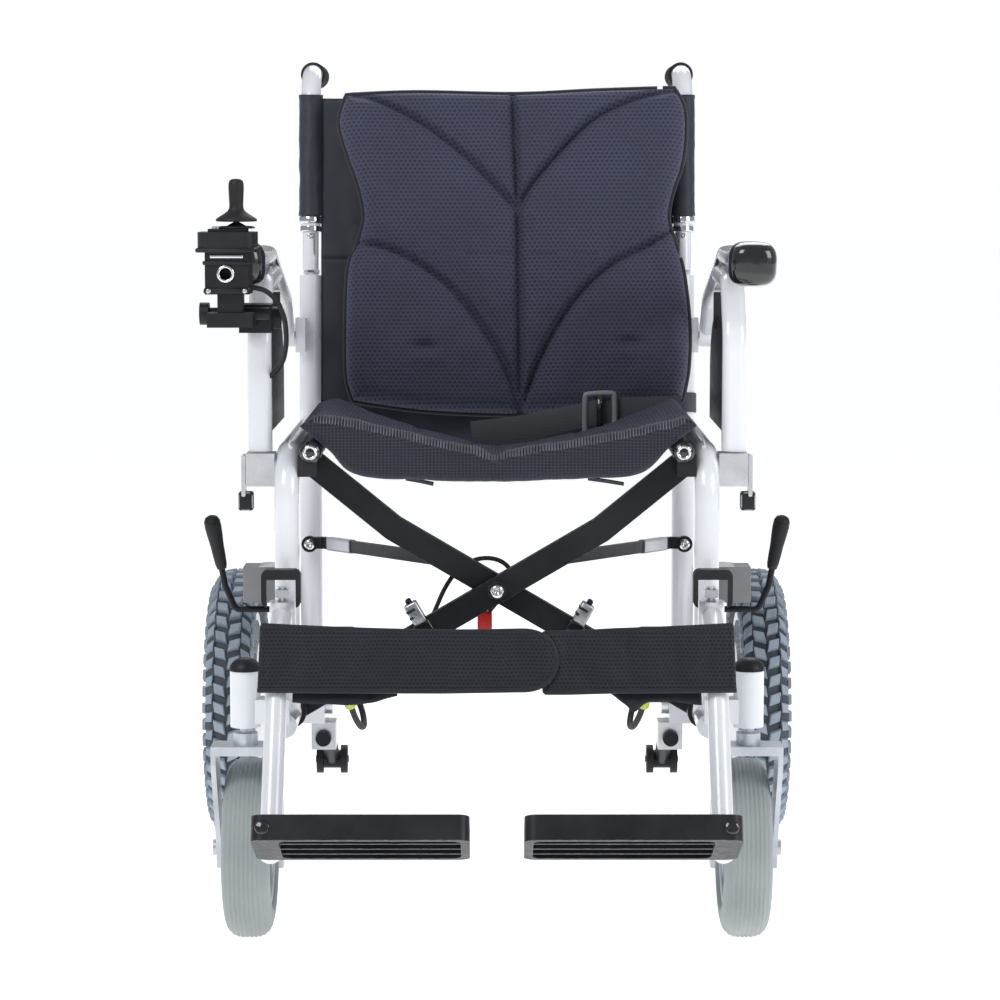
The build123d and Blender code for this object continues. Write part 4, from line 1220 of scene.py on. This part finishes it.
screw("brace_bolt_cap", at(0, bar_front - 0.2, pivot_z), (0, -1, 0), 7.2, 4.2, chrome, "brace_a")
for side_name, side in sides.items():
    rail_body, clamp_body, bar_y, clamp_out, strap_x = side_details[side_name]
    frame_body, back_body, hanger_body = (f"{part}_{side_name}" for part in ("frame", "back", "hanger"))
    # end cap and plated ring on each seat rail
    rail_end = at(side * rail_x, rail_front, rail_z)
    lathe(f"rail_cap_{side_name}", rail_cap, rail_end, (0, 1, 0), gloss_black, rail_body, closed=False)
    lathe(f"rail_ring_{side_name}", rail_ring, rail_end, (0, 1, 0), chrome, rail_body)
    # link: pale sleeve beside the eye and its bolt
    start = np.array([side * link_start[0], *link_start[1:]])
    run = np.array([side * link_stop[0], *link_stop[1:]]) - start
    direction = Vector(run).normalized()
    flat_side = direction.cross(Vector((0, 0, 1))).normalized()
    up = flat_side.cross(direction)
    vertices = []
    for share in link_sleeve:
        for w, h in superellipse(4.4, 7.6, 6, 24):
            vertices.append(at(*(Vector(start + run * share) + flat_side * w + up * h)))
    smooth_by_angle(piece(f"link_sleeve_{side_name}", vertices, capped_tube(2, 24), cast_silver,
                          f"link_{side_name}"))
    screw(f"link_bolt_{side_name}", at(side * cane_x, 218.9, 352), (0, -1, 0), 6.2, 3.6, chrome, frame_body)
    # clamp on the lower half of each brace bar, its jaws over the bar's top edge
    for tag, material, low, high in clamp_parts:
        clamp = rounded_box(f"brace_clamp_{tag}_{side_name}", low, high, 2, material, clamp_body)
        lean = Matrix.Rotation(side * math.atan2(brace_rise, brace_run), 4, "Y")
        place = at(side * clamp_out, bar_y, pivot_z - clamp_out * brace_rise / brace_run)
        clamp.data.transform(Matrix.Translation(place) @ lean @ Matrix.Translation(-at(0, 0, 0)))
        clamp.data.update()
    # grey key slot and plated button on the neck of the folding cane
    slot_x, slot_front = side * 205.6, cane_y(neck_z) - neck_front
    rounded_box(f"neck_slot_{side_name}", (slot_x - 0.9, slot_front - 0.2, 664),
                (slot_x + 0.9, slot_front + 1.6, 699), 0.5, grey_housing, back_body)
    screw(f"neck_button_{side_name}", at(side * cane_x, cane_y(695) - 8.8, 695), (0, -1, 0.14), 3.2, 1.6,
          chrome, back_body)
    # black knuckle and screw at the foot of the hanger
    hanger_foot = at(side * hanger_x, foot.y, foot.z)
    lathe(f"hanger_knuckle_{side_name}", knuckle, hanger_foot - shin * 0.012, shin, soft_rubber,
          hanger_body)
    screw(f"hanger_screw_{side_name}", hanger_foot - shin * 0.026 + shin_front * 0.0104, shin_front, 4.6,
          3.5, gloss_black, hanger_body)
    # cap over the end of the footplate's pin
    pin_axis = Vector((0, -math.cos(pin_slope), math.sin(pin_slope)))
    pin_end = at(side * hanger_x, foot.y + pin_reach * pin_axis.y, foot.z + pin_reach * pin_axis.z)
    lathe(f"footplate_pin_cap_{side_name}", pin_cap, pin_end, pin_axis, gloss_black, hanger_body, 36,
          closed=False)
    # grey cover of the wheel lock, and the black tip of the armrest's latch
    low_x, high_x = sorted((side * 220.9, side * 274.1))
    rounded_box(f"lock_cover_{side_name}", (low_x, 97.4, 303.4), (high_x, 132.6, 342.6), 1.0,
                grey_housing, frame_body)
    latch_x = side * 253
    rounded_box(f"arm_latch_tip_{side_name}", (latch_x - 7.5, -104.5, 426.5),
                (latch_x + 7.5, -89.5, 445.5), 2.5, black_plastic, f"arm_latch_{side_name}")
    # webbing ends that hang from under the seat
    strap_line = [(strap_x[0], 458), (sum(strap_x) / 2, 455.5), (strap_x[1], 452.5)]
    strip = ribbon(f"seat_strap_end_{side_name}", strap_line, 1.6, 12, lambda x: -92)
    set_weave(strip, along=lambda co: co[:, 1])
    # lime connector on the motor lead
    lead = [at(side * 163.5, 190, 174), at(side * 166, 180, 187), at(side * 168.5, 170, 200)]
    smooth_by_angle(strip_tube(f"lead_connector_{side_name}", lead, 0.0062, lime_plastic, frame_body, 14),
                    40)
    # brake lever hand grip
    lean = Vector((side * 0.18, -0.13, 0.97))
    lathe(f"brake_grip_{side_name}", brake_grip, at(side * 300, 111, 350), lean, soft_rubber,
          f"brake_{side_name}", 40, closed=False)

# ---- battery lead behind the brace

route = [(-72, -66, 300), (-64, -64, 318), (-54, -62, 342), (-40, -60, 362), (-20, -58, 373), (2, -58, 372),
         (16, -60, 360), (14, -62, 344), (2, -62, 330), (-8, -62, 318)]
curve = bpy.data.curves.new("battery_lead", "CURVE")
curve.dimensions = "3D"
lead_thickness = 0.0048
curve.bevel_depth = lead_thickness / 2
curve.bevel_resolution = 4
spline = curve.splines.new("NURBS")
spline.points.add(len(route) - 1)
for point, place in zip(spline.points, route):
    point.co = (*at(*place), 1)
spline.order_u = 3
spline.use_endpoint_u = True
curve.materials.append(soft_rubber)
lead_piece = bpy.data.objects.new("battery_lead", curve)
scene.collection.objects.link(lead_piece)
finish_piece(lead_piece, "brace_a")
plug = rounded_box("battery_plug", (-20, -69, 299), (-5, -56, 318), 2.5, red_plastic, "brace_a")
rounded_box("battery_lead_clip", (-78, -77, 291), (-66, -60, 303), 2, gloss_black, "brace_a")

# ---- floor

floor_material = new_material("studio_floor", (0.88, 0.88, 0.88), 0.6, Emission_Strength=0.70)
shader_of(floor_material).inputs["Emission Color"].default_value = (1, 1, 1, 1)
floor_mesh = bpy.data.meshes.new("floor")
reach = 30
corners = [(-reach, -reach, 0), (reach, -reach, 0), (reach, reach, 0), (-reach, reach, 0)]
floor_mesh.from_pydata(corners, [], [(0, 1, 2, 3)])
floor_mesh.materials.append(floor_material)
floor = bpy.data.objects.new("floor", floor_mesh)
scene.collection.objects.link(floor)
floor.location.z = cad_box[0].z - 0.0005
